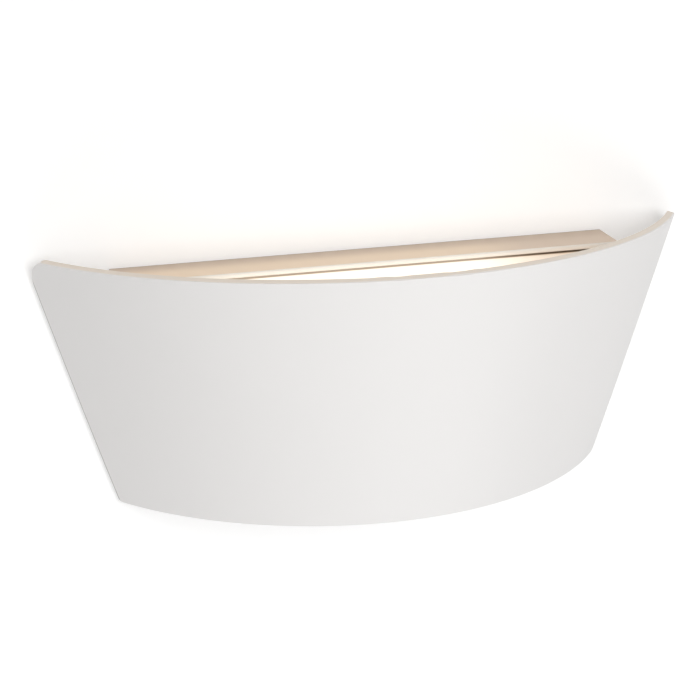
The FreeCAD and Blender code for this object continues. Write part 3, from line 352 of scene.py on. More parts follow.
@dataclass(frozen=True)
class PanelPaintWithPaintedShade(Paint):
    """Paint with painted shade: a beige painted shade on the sheet's upper rim, above a climbing plane, and a
    painted shade on the side edges by the wall.
    """

    # Painted shade: the beige tone of the upward-facing rim, whose paint is white like the face.
    edge: Colour = (0.79, 0.725, 0.65)
    # Painted shade on the side edges where the sheet turns towards the wall.
    side: Colour = (0.6, 0.59, 0.58)
    painted_side_shade_reach: float = -0.0034
    corner_height: float = 0.032
    corner_reach: float = 0.0025
    climb: float = 3.0

    def base_colour(self, graph: Surface, clouds: Expr) -> bpy.types.NodeSocket:
        """The paint's clouded colour, with the painted side shade by the wall and the painted rim shade above
        the plane.

        Args:
            graph: the material's graph.
            clouds: soft clouds around 0.5.

        Returns:
            The blended colour.
        """
        _, y, z = graph.axes()
        # Painted shade: the side edges darken where the sheet turns towards the wall.
        painted_side_shade_share = y.step(self.painted_side_shade_reach - 0.0002, self.painted_side_shade_reach + 0.0002)
        face = graph.mix(painted_side_shade_share, super().base_colour(graph, clouds), self.side)
        above = z - self.corner_height + (y + self.corner_reach) * math.tan(math.radians(self.climb))
        # Above the plane the rim takes the beige painted shade.
        return graph.mix(above.step(0.00005, 0.0003), face, self.edge)


@dataclass(frozen=True)
class HousingPaintWithPaintedLight(Paint):
    """White paint drawn with painted light: a painted glow towards the lip, painted shade at the right end
    and at the wall, and the lip's face painted as lit.
    """

    # Painted glow: the amber tone of the light's bounce on the front part of the top.
    painted_glow_tone: Colour = (0.9, 0.74, 0.57)
    # Painted light: the lip's face is drawn pale, as lit by the glow below it.
    lip: Colour = (0.98, 0.95, 0.9)
    rear: float = -0.001
    front: float = -0.018
    lip_front: float = -0.0255
    # Painted contact shadow along the top's edge at the wall.
    painted_wall_shadow: Colour = (0.36, 0.29, 0.24)
    painted_wall_shadow_width: float = 0.0014
    # Painted shade at the top's right end, past where the board's glow reaches.
    dusk: Colour = (0.74, 0.61, 0.495)
    glow_end: float = 0.05
    dusk_start: float = 0.09

    def base_colour(self, graph: Surface, clouds: Expr) -> bpy.types.NodeSocket:
        """The paint's clouded colour, with a painted shadow at the wall and painted shade at the rear,
        blended towards the painted glow and the lip's lit tone.

        Args:
            graph: the material's graph.
            clouds: soft clouds around 0.5.

        Returns:
            The blended colour.
        """
        x, y, _ = graph.axes()
        # A painted shadow darkens the top where it meets the wall.
        rear = graph.mix(y.step(-self.painted_wall_shadow_width, 0.0), super().base_colour(graph, clouds), self.painted_wall_shadow)
        # Past the board's right end the painted glow gives way to painted shade.
        painted_glow_tone = graph.mix(x.step(self.glow_end, self.dusk_start), self.painted_glow_tone, self.dusk)
        # The top ramps from painted shade at the rear to the painted glow at the front.
        top = graph.mix(y.step(self.rear, self.front), rear, painted_glow_tone)
        # The lip's face takes the pale tone painted as lit.
        return graph.mix(y.step(self.lip_front + 0.0005, self.lip_front), top, self.lip)


@dataclass(frozen=True)
class LitOpal:
    """Lit opal acrylic: bright over the light board, peach past its ends, with a painted shadow under the
    cover's lip, where its glow is turned down and its body drawn dark.
    """

    name: str
    glow: Colour
    dusk: Colour
    strength: float
    board_left: float
    board_right: float
    lip_front: float
    body: Colour = (0.5, 0.48, 0.44)
    # Painted shadow: the dark brown body of the strip under the cover's lip.
    painted_lip_shadow: Colour = (0.4, 0.29, 0.19)

    def material(self) -> bpy.types.Material:
        """Build the diffuser.

        Returns:
            The material.
        """
        graph = Surface(self.name)
        x, y, _ = graph.axes()
        ripple = graph.noise(60.0, 2.0)
        right = x.step(self.board_right + 0.045, self.board_right - 0.02)
        left = x.step(self.board_left - 0.045, self.board_left + 0.02)
        lit = right * left
        # The strip under the lip gets painted shadow: its glow turned down and its body drawn dark.
        open_strip = y.step(self.lip_front + 0.0006, self.lip_front - 0.0008)
        colour = graph.mix(lit, self.dusk, self.glow)
        level = (0.5 + 0.5 * lit) * (open_strip + (1.0 - open_strip) * lit * 0.32) * (0.96 + 0.08 * ripple)
        shown = graph.mix(level, (0.0, 0.0, 0.0), colour)
        body = graph.mix(open_strip, self.painted_lip_shadow, self.body)
        grain = graph.bump(graph.noise(2500.0, 1.0), 0.000006)
        return graph.finish(Base_Color=body, Roughness=0.4 + 0.06 * ripple, Normal=grain, IOR=1.49,
                            Emission_Color=shown, Emission_Strength=self.strength)


@dataclass(frozen=True)
class Zinc:
    """Zinc-coated steel: rolling lines or spangles, with hazy patches."""

    name: str
    colour: Colour
    spangle: float
    roughness: float = 0.36

    def material(self) -> bpy.types.Material:
        """Build the plating.

        Returns:
            The material.
        """
        graph = Surface(self.name)
        haze = graph.noise(70.0, 5.0)
        lines = graph.noise(300.0, 4.0, (0.06, 1.0, 1.0))
        flakes = graph.cells(220.0, "Color")
        dull, bright = scaled(self.colour, 0.82), scaled(self.colour, 1.12)
        tone = graph.mix(flakes * self.spangle + haze * 0.4, dull, bright)
        rough = self.roughness + (haze - 0.5) * 0.22 + (flakes - 0.5) * self.spangle * 0.2
        normal = graph.bump(lines, 0.000008)
        return graph.finish(Base_Color=tone, Metallic=1.0, Roughness=rough, Normal=normal)


@dataclass(frozen=True)
class Plastic:
    """Moulded plastic: fine spark-eroded texture and slight shading."""

    name: str
    colour: Colour
    roughness: float = 0.48
    texture: float = 0.00002
    coat: float = 0.0

    def material(self) -> bpy.types.Material:
        """Build the plastic.

        Returns:
            The material.
        """
        graph = Surface(self.name)
        clouds = graph.noise(35.0, 3.0)
        texture = graph.noise(2600.0, 3.0)
        base = graph.mix(clouds, scaled(self.colour, 0.95), scaled(self.colour, 1.04))
        rough = self.roughness + (texture - 0.5) * 0.12
        return graph.finish(Base_Color=base, Roughness=rough, Normal=graph.bump(texture, self.texture),
                            Coat_Weight=self.coat)


@dataclass(frozen=True)
class Turned:
    """Turned or tinned metal: tool marks and a little tarnish."""

    name: str
    colour: Colour
    tarnish: Colour
    roughness: float = 0.28

    def material(self) -> bpy.types.Material:
        """Build the metal.

        Returns:
            The material.
        """
        graph = Surface(self.name)
        patches = graph.noise(160.0, 4.0)
        marks = graph.noise(1500.0, 2.0, (1.0, 1.0, 0.1))
        tone = graph.mix(patches.step(0.5, 0.72) * 0.6, self.colour, self.tarnish)
        rough = self.roughness + (patches - 0.5) * 0.2
        return graph.finish(Base_Color=tone, Metallic=1.0, Roughness=rough,
                            Normal=graph.bump(marks, 0.000006))


@dataclass(frozen=True)
class WireSleeve:
    """A wire's sleeve in one slightly uneven colour, or with stripes of a second one."""

    name: str
    colour: Colour
    stripe: Colour | None = None

    def material(self) -> bpy.types.Material:
        """Build the sleeve.

        Returns:
            The material.
        """
        graph = Surface(self.name)
        _, y, z = graph.axes()
        soft = graph.noise(900.0, 2.0)
        tone = graph.mix(soft, scaled(self.colour, 0.86), scaled(self.colour, 1.14))
        if self.stripe:
            tone = graph.mix(((y + z) * 1900.0).wave().step(-0.2, 0.2), tone, self.stripe)
        return graph.finish(Base_Color=tone, Roughness=0.4 + (soft - 0.5) * 0.1,
                            Normal=graph.bump(soft, 0.00001), Coat_Weight=0.15)


LIP_FRONT = -0.026

FINISHES = (
    # The panel's white paint; its class adds a painted shade on the rim and on the side edges.
    PanelPaintWithPaintedShade("panel_paint", (0.84, 0.828, 0.82), 0.5),
    # The housing's white paint is drawn in tan and darker tones: painted shade and painted glow from its
    # class.
    HousingPaintWithPaintedLight("housing_paint", (0.62, 0.5, 0.4), 0.55, cloud=0.018),
    Paint("tray_paint", (0.88, 0.875, 0.86), 0.4),
    LitOpal("opal_plastic", (1.0, 0.93, 0.8), (1.0, 0.74, 0.52), 0.85, -0.086, 0.064, LIP_FRONT),
    Zinc("arm_steel", (0.7, 0.71, 0.72), 0.15, 0.3),
    Zinc("bracket_steel", (0.64, 0.655, 0.67), 0.6, 0.4),
    Zinc("fastener_steel", (0.72, 0.73, 0.75), 0.1, 0.26),
    Plastic("post_plastic", (0.86, 0.85, 0.81)),
    Plastic("board_mask", (0.83, 0.84, 0.82), 0.32, 0.000006, 0.2),
    Plastic("chip_phosphor", (0.86, 0.62, 0.12), 0.3, 0.000004, 0.3),
    Plastic("driver_plastic", (0.76, 0.76, 0.745), 0.5),
    Plastic("terminal_nylon", (0.8, 0.775, 0.7), 0.42),
    Turned("terminal_brass", (0.83, 0.64, 0.3), (0.5, 0.34, 0.14)),
    Turned("tag_tin", (0.78, 0.77, 0.74), (0.5, 0.48, 0.45), 0.22),
    Plastic("bush_rubber", (0.022, 0.022, 0.023), 0.62, 0.00003),
    WireSleeve("wire_brown", (0.2, 0.085, 0.035)),
    WireSleeve("wire_blue", (0.03, 0.12, 0.46)),
    WireSleeve("wire_green_yellow", (0.08, 0.36, 0.06), (0.82, 0.7, 0.05)),
    WireSleeve("wire_red", (0.56, 0.03, 0.02)),
    WireSleeve("wire_black", (0.02, 0.02, 0.021)),
)


# ---------------------------------------------------------------- mesh helpers

def piece(name: str, mesh: bmesh.types.BMesh, slot: str, replaced: Iterable[str]) -> bpy.types.Object:
    """Turn a bmesh into a piece of the light.

    Args:
        name: the piece's name.
        mesh: its geometry, in the part's frame.
        slot: the finish it takes.
        replaced: the nodes that it stands for.

    Returns:
        The piece.
    """
    data = bpy.data.meshes.new(name)
    mesh.to_mesh(data)
    mesh.free()
    data.materials.append(bpy.data.materials[slot])
    made = bpy.data.objects.new(name, data)
    bpy.context.scene.collection.objects.link(made)
    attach(made, BODY)
    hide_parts(*replaced)
    return made


def smooth_by_angle(made: bpy.types.Object, degrees: float = 30.0) -> None:
    """Shade a piece smooth except over sharp edges.

    Args:
        made: the piece.
        degrees: the angle from which an edge stays sharp.
    """
    made.data.shade_smooth()
    made.data.set_sharp_from_angle(angle=math.radians(degrees))


def sharp_edges(mesh: bmesh.types.BMesh, degrees: float) -> list[bmesh.types.BMEdge]:
    """Edges between two faces that meet at more than an angle.

    Args:
        mesh: the mesh.
        degrees: the least angle.

    Returns:
        The edges.
    """
    least = math.radians(degrees)
    return [e for e in mesh.edges if len(e.link_faces) == 2 and e.calc_face_angle(0.0) > least]


# ---------------------------------------------------------------- front panel

@dataclass
class FrontPanel:
    """The sheet: a cone around an upright axis behind the wall, with square edges and round corners."""

    top_width: float = 350.0 * MM
    base_width: float = 262.0 * MM
    height: float = 133.0 * MM
    sheet: float = 4.0 * MM
    inset: float = 92.0 * MM
    drop: float = 101.0 * MM
    wall_gap: float = 0.3 * MM
    rim_rise: float = 3.0
    top_corner: float = 14.0 * MM
    bottom_corner: float = 3.0 * MM
    ease: float = 0.45 * MM
    turns: int = 120
    rows: int = 30
    corner_cuts: int = 9
    corner_reach: float = 2.5
    spare: float = 0.12
    sweep: float = 140.0
    weld: float = 0.3 * MM
    ease_steps: int = 3
    ease_angle: float = 50.0

    def base_radius(self) -> float:
        """Outer radius at the bottom edge."""
        return math.hypot(self.base_width / 2, self.inset)

    def slope(self) -> float:
        """How much the radius grows for each metre of height."""
        return (math.hypot(self.top_width / 2, self.inset) - self.base_radius()) / self.height

    def setback(self) -> float:
        """Distance of the outer side edges from the wall, so that the inner arris clears it."""
        square = self.sheet / math.hypot(1, self.slope()) * self.inset / self.base_radius()
        return self.wall_gap + square

    def axis(self) -> Vector:
        """The foot of the cone's axis, at the height of the bottom edge."""
        return Vector((0, self.inset - self.setback(), -self.drop))

    def sheet_axes(self, point: Vector) -> tuple[Vector, Vector]:
        """Directions in the sheet at a point: level and away from its middle, and up it.

        Args:
            point: a point on the outer skin.

        Returns:
            The two unit directions.
        """
        radial = (point - self.axis()) * Vector((1, 1, 0))
        radial.normalize()
        across = Vector((-radial.y, radial.x, 0)) * math.copysign(1, point.x)
        lean = math.atan(self.slope())
        return across, radial * math.sin(lean) + Vector((0, 0, math.cos(lean)))

    def skin(self) -> bmesh.types.BMesh:
        """The outer skin, rolled from one slanting line, a little larger than the sheet.

        Returns:
            The skin, open at its edges.
        """
        mesh = bmesh.new()
        spare = self.spare * self.height
        tall = self.height + 2 * spare
        start = Vector((0, self.axis().y - self.base_radius() + self.slope() * spare, -self.drop - spare))
        bmesh.ops.create_vert(mesh, co=start)
        bmesh.ops.create_vert(mesh, co=start + Vector((0, -self.slope() * tall, tall)))
        mesh.verts.ensure_lookup_table()
        edge = mesh.edges.new(mesh.verts)
        bmesh.ops.subdivide_edges(mesh, edges=[edge], cuts=self.rows)
        sweep = math.radians(self.sweep)
        bmesh.ops.rotate(mesh, verts=mesh.verts, cent=self.axis(), matrix=Matrix.Rotation(-sweep / 2, 3, "Z"))
        bmesh.ops.spin(mesh, geom=mesh.verts[:] + mesh.edges[:], cent=self.axis(), axis=(0, 0, 1),
                       angle=sweep, steps=self.turns, use_merge=False)
        bmesh.ops.recalc_face_normals(mesh, faces=mesh.faces)
        return mesh

    def cut(self, mesh: bmesh.types.BMesh, point: Vector, outward: Vector, reach: float = math.inf) -> None:
        """Trim the skin at a plane.

        Args:
            mesh: the skin.
            point: a point on the plane.
            outward: the plane's normal, towards what is removed.
            reach: how far from the point faces are still trimmed.
        """
        faces = [f for f in mesh.faces if (f.calc_center_median() - point).length < reach]
        edges = dict.fromkeys(e for f in faces for e in f.edges)
        verts = dict.fromkeys(v for f in faces for v in f.verts)
        bmesh.ops.bisect_plane(mesh, geom=[*verts, *edges, *faces], dist=1e-6, plane_co=point,
                               plane_no=outward, clear_outer=True)

    def corner_point(self, height: float) -> Vector:
        """The point of the outer side edge at a height above the bottom."""
        radius = self.base_radius() + self.slope() * height
        return Vector((math.sqrt(radius ** 2 - self.inset ** 2), -self.setback(), height - self.drop))

    def round_corner(self, mesh: bmesh.types.BMesh, upper: bool) -> None:
        """Round two corners with planes that touch the corner's arc.

        Args:
            mesh: the skin.
            upper: whether the top corners are rounded.
        """
        radius = self.top_corner if upper else self.bottom_corner
        corner = self.corner_point(self.height if upper else 0.0)
        across, up = self.sheet_axes(corner)
        normal = across.cross(up)
        level = Vector((0, math.tan(math.radians(self.rim_rise)) if upper else 0.0, 1))
        rim = normal.cross(level).normalized()
        rim *= -math.copysign(1, rim.dot(across))
        side = (self.corner_point(self.height) - self.corner_point(0)).normalized() * (-1 if upper else 1)
        half = side.angle(rim) / 2
        centre = corner + (side + rim).normalized() * (radius / math.sin(half))
        first, last = (edge.cross(normal).normalized() for edge in (side, rim))
        first *= math.copysign(1, first.dot(corner - centre))
        last *= math.copysign(1, last.dot(corner - centre))
        for index in range(1, self.corner_cuts):
            outward = first.lerp(last, index / self.corner_cuts).normalized()
            for mirror in (Vector((1, 1, 1)), Vector((-1, 1, 1))):
                self.cut(mesh, (centre + outward * radius) * mirror, outward * mirror,
                         self.corner_reach * radius)

    def build(self) -> bpy.types.Object:
        """Roll, trim, round, thicken and ease the sheet.

        Returns:
            The piece.
        """
        mesh = self.skin()
        corner = self.corner_point(self.height)
        rise = math.tan(math.radians(self.rim_rise))
        self.cut(mesh, self.corner_point(0), Vector((0, 0, -1)))
        self.cut(mesh, corner, Vector((0, rise, 1)).normalized())
        self.cut(mesh, corner, Vector((0, 1, 0)))
        self.round_corner(mesh, upper=True)
        self.round_corner(mesh, upper=False)
        bmesh.ops.remove_doubles(mesh, verts=mesh.verts, dist=self.weld)
        made = piece("front_panel_sheet", mesh, "panel_paint", ["front_panel"])
        thick = made.modifiers.new("sheet", "SOLIDIFY")
        thick.thickness = self.sheet
        thick.offset = -1.0
        thick.use_even_offset = True
        eased = made.modifiers.new("ease", "BEVEL")
        eased.width = self.ease
        eased.segments = self.ease_steps
        eased.limit_method = "ANGLE"
        eased.angle_limit = math.radians(self.ease_angle)
        eased.harden_normals = True
        made.data.shade_smooth()
        return made


# ---------------------------------------------------------------- pieces carried over from the frame

@dataclass
class EasedPiece:
    """A piece of the frame with its hard edges slightly rounded, as folded or moulded parts have them."""

    node: str
    slot: str
    ease: float = 0.15 * MM
    least_angle: float = 50.0
    flatness: float = 0.6

    def build(self, nodes: dict[str, bpy.types.Object]) -> bpy.types.Object:
        """Copy the node's mesh, merge it and round its hard edges.

        Args:
            nodes: the frame's nodes.

        Returns:
            The piece.
        """
        mesh = bmesh.new()
        mesh.from_mesh(nodes[self.node].data)
        bmesh.ops.remove_doubles(mesh, verts=mesh.verts, dist=WELD)
        bmesh.ops.dissolve_limit(mesh, verts=mesh.verts, edges=mesh.edges,
                                 angle_limit=math.radians(self.flatness))
        bmesh.ops.bevel(mesh, geom=sharp_edges(mesh, self.least_angle), offset=self.ease, segments=2,
                        profile=0.5, affect="EDGES", clamp_overlap=True, material=-1)
        made = piece(self.node + "_eased", mesh, self.slot, [self.node])
        smooth_by_angle(made)
        return made


# ---------------------------------------------------------------- solids measured on the frame

RIM_SHARE = 0.97
DIRECTION_STEPS = 50
HEIGHT_STEP = 0.02 * MM


@dataclass(frozen=True)
class Island:
    """One solid of a node, measured along the axis that its largest flat face points out on."""

    centre: Vector
    axis: Vector
    corner: Vector
    profile: tuple[tuple[float, float], ...]

    @property
    def reach(self) -> float:
        """The largest radius."""
        return max(radius for _, radius in self.profile)

    @property
    def low(self) -> float:
        """The far end, measured from the flat face."""
        return min(along for along, _ in self.profile)

    @property
    def bore(self) -> float:
        """The smallest radius."""
        return min(radius for _, radius in self.profile)

    def seat(self) -> float:
        """The lowest place that still has the largest radius."""
        return min(along for along, radius in self.profile if radius > RIM_SHARE * self.reach)

    def place(self, along: float) -> Matrix:
        """A frame on the axis.

        Args:
            along: its distance from the flat face.

        Returns:
            The frame, with Z along the axis and X towards the farthest corner.
        """
        turn = Matrix((self.corner, self.axis.cross(self.corner), self.axis)).transposed()
        return Matrix.Translation(self.centre + self.axis * along) @ turn.to_4x4()


def islands(node: bpy.types.Object) -> list[Island]:
    """Measure every solid of a node.

    Args:
        node: a node of the frame, whose mesh stays as it is.

    Returns:
        One measured solid for each connected part.
    """
    mesh = bmesh.new()
    mesh.from_mesh(node.data)
    bmesh.ops.remove_doubles(mesh, verts=mesh.verts, dist=WELD)
    mesh.verts.index_update()
    mesh.faces.index_update()
    waiting = dict.fromkeys(mesh.verts)
    found = []
    while waiting:
        part, edge = set(), {next(iter(waiting))}
        while edge:
            part |= edge
            edge = {e.other_vert(v) for v in edge for e in v.link_edges} - part
        for vert in part:
            del waiting[vert]
        found.append(measured(sorted(part, key=lambda vert: vert.index)))
    mesh.free()
    return found


def measured(verts: Sequence[bmesh.types.BMVert]) -> Island:
    """Measure one connected part.

    Args:
        verts: its corners, in a fixed order.

    Returns:
        The measured part.
    """
    flats: dict[tuple[int, ...], list[bmesh.types.BMFace]] = {}
    for face in sorted({f for v in verts for f in v.link_faces}, key=lambda face: face.index):
        height = face.normal.dot(face.verts[0].co)
        key = (*(round(c * DIRECTION_STEPS) for c in face.normal), round(height / HEIGHT_STEP))
        flats.setdefault(key, []).append(face)
    cap = max(flats.values(), key=lambda faces: sum(f.calc_area() for f in faces))
    area = sum(f.calc_area() for f in cap)
    centre = sum((f.calc_center_median() * f.calc_area() for f in cap), Vector()) / area
    axis = sum((f.normal * f.calc_area() for f in cap), Vector()).normalized()
    offsets = [v.co - centre for v in verts]
    rays = [offset - axis * offset.dot(axis) for offset in offsets]
    profile = tuple((offset.dot(axis), ray.length) for offset, ray in zip(offsets, rays))
    return Island(centre, axis, max(rays, key=lambda ray: ray.length).normalized(), profile)


# ---------------------------------------------------------------- fasteners

CORE_DEPTH = 0.6
ROOT_DEPTH = 0.66


class Thread(Enum):
    """Coarse threads, by their pitch in metres."""

    M3 = 0.5 * MM
    M4 = 0.7 * MM
    M5 = 0.8 * MM


def lathe(mesh: bmesh.types.BMesh, outline: Sequence[tuple[float, float]],
          steps: int) -> list[bmesh.types.BMVert]:
    """Turn an outline once around Z.

    Args:
        mesh: the mesh that gains the form.
        outline: pairs of radius and height.
        steps: segments around.

    Returns:
        The new corners.
    """
    before = set(mesh.verts)
    chain = [mesh.verts.new((radius, 0, height)) for radius, height in outline]
    edges = [mesh.edges.new(pair) for pair in zip(chain, chain[1:])]
    bmesh.ops.spin(mesh, geom=chain + edges, cent=(0, 0, 0), axis=(0, 0, 1), angle=math.tau, steps=steps,
                   use_merge=True)
    fresh = [v for v in mesh.verts if v not in before]
    bmesh.ops.remove_doubles(mesh, verts=fresh, dist=1e-6)
    return [v for v in mesh.verts if v not in before]


def thread(mesh: bmesh.types.BMesh, pitch: float, outer: float, start: float, end: float,
           steps: int = 16) -> None:
    """Wind one tooth around Z as a helix.

    Args:
        mesh: the mesh that gains the thread.
        pitch: rise of one turn.
        outer: radius over the tooth.
        start: height where the tooth starts.
        end: height where it ends.
        steps: segments in one turn.
    """
    turns = (end - start) / pitch - 1
    root = outer - ROOT_DEPTH * pitch
    tooth = [(root, -0.45), (outer, -0.06), (outer, 0.06), (root, 0.45)]
    chain = [mesh.verts.new((radius, 0, start + (0.5 + rise) * pitch)) for radius, rise in tooth]
    first = mesh.faces.new(chain)
    bmesh.ops.spin(mesh, geom=[first], cent=(0, 0, 0), axis=(0, 0, 1), angle=math.tau * turns,
                   dvec=(0, 0, pitch / steps), steps=max(1, round(turns * steps)), use_merge=False)


@dataclass(frozen=True)
class PanScrew:
    """A pan-head screw with a cross recess, its seat at the origin and its head along Z."""

    head_radius: float
    head_height: float
    shank_radius: float
    length: float
    pitch: Thread
    flat_share: float = 0.64
    recess_depth: float = 0.62
    recess_taper: float = 0.62

    def build(self) -> bmesh.types.BMesh:
        """Build the screw.

        Returns:
            The mesh.
        """
        mesh = bmesh.new()
        pitch, tip = self.pitch.value, -self.length
        rim, top = self.head_radius, self.head_height
        core = self.shank_radius - CORE_DEPTH * pitch
        flat = self.flat_share * rim
        dome = [(rim - 0.06 * rim, 0), (rim, 0.06 * rim), (rim, 0.4 * top), (0.95 * rim, 0.72 * top),
                (0.82 * rim, 0.92 * top), (flat, top)]
        lathe(mesh, [(0, tip), (core - pitch * 0.5, tip), (core, tip + 0.5 * pitch), (core, 0), *dome], 32)
        thread(mesh, pitch, self.shank_radius, tip + 0.4 * pitch, -0.2 * pitch)
        self.recess(mesh, flat)
        bmesh.ops.recalc_face_normals(mesh, faces=mesh.faces)
        return mesh

    def recess(self, mesh: bmesh.types.BMesh, flat: float) -> None:
        """Close the head's flat top around a cross-shaped recess.

        Args:
            mesh: the screw.
            flat: radius of the flat top.
        """
        ring = [e for e in mesh.edges if e.is_boundary
                and all(abs(v.co.z - self.head_height) < 1e-6 for v in e.verts)]
        arm, half = 0.86 * flat, 0.17 * flat
        quarter = [Vector((arm, -half, 0)), Vector((arm, half, 0)), Vector((half, half, 0))]
        outline = [Matrix.Rotation(turn * math.pi / 2, 3, "Z") @ point
                   for turn in range(4) for point in quarter]
        corners = [mesh.verts.new(point + Vector((0, 0, self.head_height))) for point in outline]
        cross = [mesh.edges.new(pair) for pair in zip(corners, corners[1:] + corners[:1])]
        bmesh.ops.triangle_fill(mesh, edges=ring + cross, use_beauty=True)
        walls = bmesh.ops.extrude_edge_only(mesh, edges=cross)["geom"]
        floor = [v for v in walls if isinstance(v, bmesh.types.BMVert)]
        bmesh.ops.translate(mesh, verts=floor, vec=(0, 0, -self.recess_depth * self.head_height))
        for vert in floor:
            vert.co.xy *= self.recess_taper
        bmesh.ops.contextual_create(mesh, geom=[e for e in walls if isinstance(e, bmesh.types.BMEdge)
                                                and all(v in floor for v in e.verts)])


@dataclass(frozen=True)
class HexNut:
    """A hexagon nut, chamfered on both faces, centred on Z with a corner on X and its top at the origin."""

    corner: float
    bore: float
    height: float
    lead: float = 0.35 * MM
    face_share: float = 0.97
    chamfer: float = 30.0

    def build(self) -> bmesh.types.BMesh:
        """Build the nut.

        Returns:
            The mesh.
        """
        mesh = bmesh.new()
        across = self.corner * math.cos(math.pi / 6)
        face, lead, low = self.face_share * across, self.lead, -self.height
        outline = [(self.bore, lead + low), (self.bore + lead, low), (face, low), (self.corner, low),
                   (self.corner, 0), (face, 0), (self.bore + lead, 0), (self.bore, -lead),
                   (self.bore, lead + low)]
        for vert in lathe(mesh, outline, 48):
            radius = vert.co.xy.length
            if radius > 0.985 * across:
                turn = (math.atan2(vert.co.y, vert.co.x) % (math.pi / 3)) - math.pi / 6
                reach = across / math.cos(turn)
                fall = (reach - face) * math.tan(math.radians(self.chamfer))
                vert.co.xy *= reach / radius
                vert.co.z += fall if vert.co.z < low / 2 else -fall
        bmesh.ops.recalc_face_normals(mesh, faces=mesh.faces)
        return mesh


@dataclass(frozen=True)
class Washer:
    """A stamped washer, rounded on one face and sharper on the other, its top at the origin."""

    outer: float
    bore: float
    height: float

    def build(self) -> bmesh.types.BMesh:
        """Build the washer.

        Returns:
            The mesh.
        """
        mesh = bmesh.new()
        soft, low = 0.3 * self.height, -self.height
        lathe(mesh, [(self.bore, -soft), (self.bore, low), (self.outer, low), (self.outer, -soft),
                     (self.outer - 0.3 * soft, -0.3 * soft), (self.outer - soft, 0), (self.bore + soft, 0),
                     (self.bore + 0.3 * soft, -0.3 * soft), (self.bore, -soft)], 48)
        bmesh.ops.recalc_face_normals(mesh, faces=mesh.faces)
        return mesh


@dataclass(frozen=True)
class Stud:
    """A threaded stud with chamfered ends, its top at the origin."""

    radius: float
    length: float
    pitch: Thread

    def build(self) -> bmesh.types.BMesh:
        """Build the stud.

        Returns:
            The mesh.
        """
        mesh = bmesh.new()
        core = self.radius - CORE_DEPTH * self.pitch.value
        cut, low = 0.5 * self.pitch.value, -self.length
        lathe(mesh, [(0, low), (self.radius, low), (self.radius, low + cut), (core, low + 2 * cut),
                     (core, -cut), (core - cut, 0), (0, 0)], 24)
        thread(mesh, self.pitch.value, self.radius, low + cut, -0.4 * cut)
        bmesh.ops.recalc_face_normals(mesh, faces=mesh.faces)
        return mesh


Pattern = Callable[[Island], tuple[bmesh.types.BMesh, Matrix]]


def screw_on(pitch: Thread) -> Pattern:
    """How a screw of a thread follows a measured solid.

    Args:
        pitch: its thread.

    Returns:
        A function from the solid to the screw's mesh and place.
    """
    def follow(solid: Island) -> tuple[bmesh.types.BMesh, Matrix]:
        """Size and place one screw.

        Args:
            solid: the solid that the frame has for it.

        Returns:
            The screw's mesh and its place.
        """
        seat = solid.seat()
        shank = max(radius for along, radius in solid.profile if along < seat - 0.2 * MM)
        return PanScrew(solid.reach, -seat, shank, seat - solid.low, pitch).build(), solid.place(seat)
    return follow


def nut_on(solid: Island) -> tuple[bmesh.types.BMesh, Matrix]:
    """Size and place one nut."""
    return HexNut(solid.reach, solid.bore, -solid.low).build(), solid.place(0)


def washer_on(solid: Island) -> tuple[bmesh.types.BMesh, Matrix]:
    """Size and place one washer."""
    return Washer(solid.reach, solid.bore, -solid.low).build(), solid.place(0)


def stud_on(pitch: Thread) -> Pattern:
    """How a stud of a thread follows a measured solid.

    Args:
        pitch: its thread.

    Returns:
        A function from the solid to the stud's mesh and place.
    """
    def follow(solid: Island) -> tuple[bmesh.types.BMesh, Matrix]:
        """Size and place one stud."""
        return Stud(solid.reach, -solid.low, pitch).build(), solid.place(0)
    return follow


@dataclass
class FastenerSet:
    """All the fasteners of one node, each on the solid that the frame has for it."""

    node: str
    pattern: Pattern
    slot: str = "fastener_steel"

    def build(self, nodes: dict[str, bpy.types.Object]) -> bpy.types.Object:
        """Build the set.

        Args:
            nodes: the frame's nodes.

        Returns:
            The piece.
        """
        mesh = bmesh.new()
        for solid in islands(nodes[self.node]):
            single, place = self.pattern(solid)
            bmesh.ops.transform(single, matrix=place, verts=single.verts)
            carrier = bpy.data.meshes.new("carrier")
            single.to_mesh(carrier)
            single.free()
            mesh.from_mesh(carrier)
            bpy.data.meshes.remove(carrier)
        made = piece(self.node + "_cut", mesh, self.slot, [self.node])
        smooth_by_angle(made, 35)
        return made


FASTENERS = (
    FastenerSet("arm_screws", screw_on(Thread.M4)),
    FastenerSet("cover_screws", screw_on(Thread.M4)),
    FastenerSet("tray_screws", screw_on(Thread.M3)),
    FastenerSet("diffuser_screws", screw_on(Thread.M3)),
    FastenerSet("board_screws", screw_on(Thread.M3)),
    FastenerSet("block_screws", screw_on(Thread.M3)),
    FastenerSet("clamp_screws", screw_on(Thread.M3)),
    FastenerSet("panel_studs", stud_on(Thread.M5)),
    FastenerSet("panel_nuts", nut_on),
    FastenerSet("panel_washers", washer_on),
    FastenerSet("arm_nuts", nut_on),
    FastenerSet("driver_nuts", nut_on),
    FastenerSet("earth_nut", nut_on),
)

EASED = (
    EasedPiece("housing_cover", "housing_paint", 0.2 * MM),
    EasedPiece("light_tray", "tray_paint"),
    EasedPiece("diffuser", "opal_plastic", 0.3 * MM),
    EasedPiece("wall_bracket", "bracket_steel"),
    EasedPiece("support_arm_left", "arm_steel", 0.25 * MM),
    EasedPiece("support_arm_right", "arm_steel", 0.25 * MM),
    EasedPiece("driver", "driver_plastic", 0.3 * MM),
    EasedPiece("terminal_block", "terminal_nylon", 0.3 * MM),
    EasedPiece("cord_clamp", "terminal_nylon", 0.4 * MM),
    EasedPiece("led_connector", "terminal_nylon", 0.2 * MM),
    EasedPiece("entry_bush", "bush_rubber", 0.25 * MM),
    EasedPiece("lead_bush", "bush_rubber", 0.2 * MM),
)


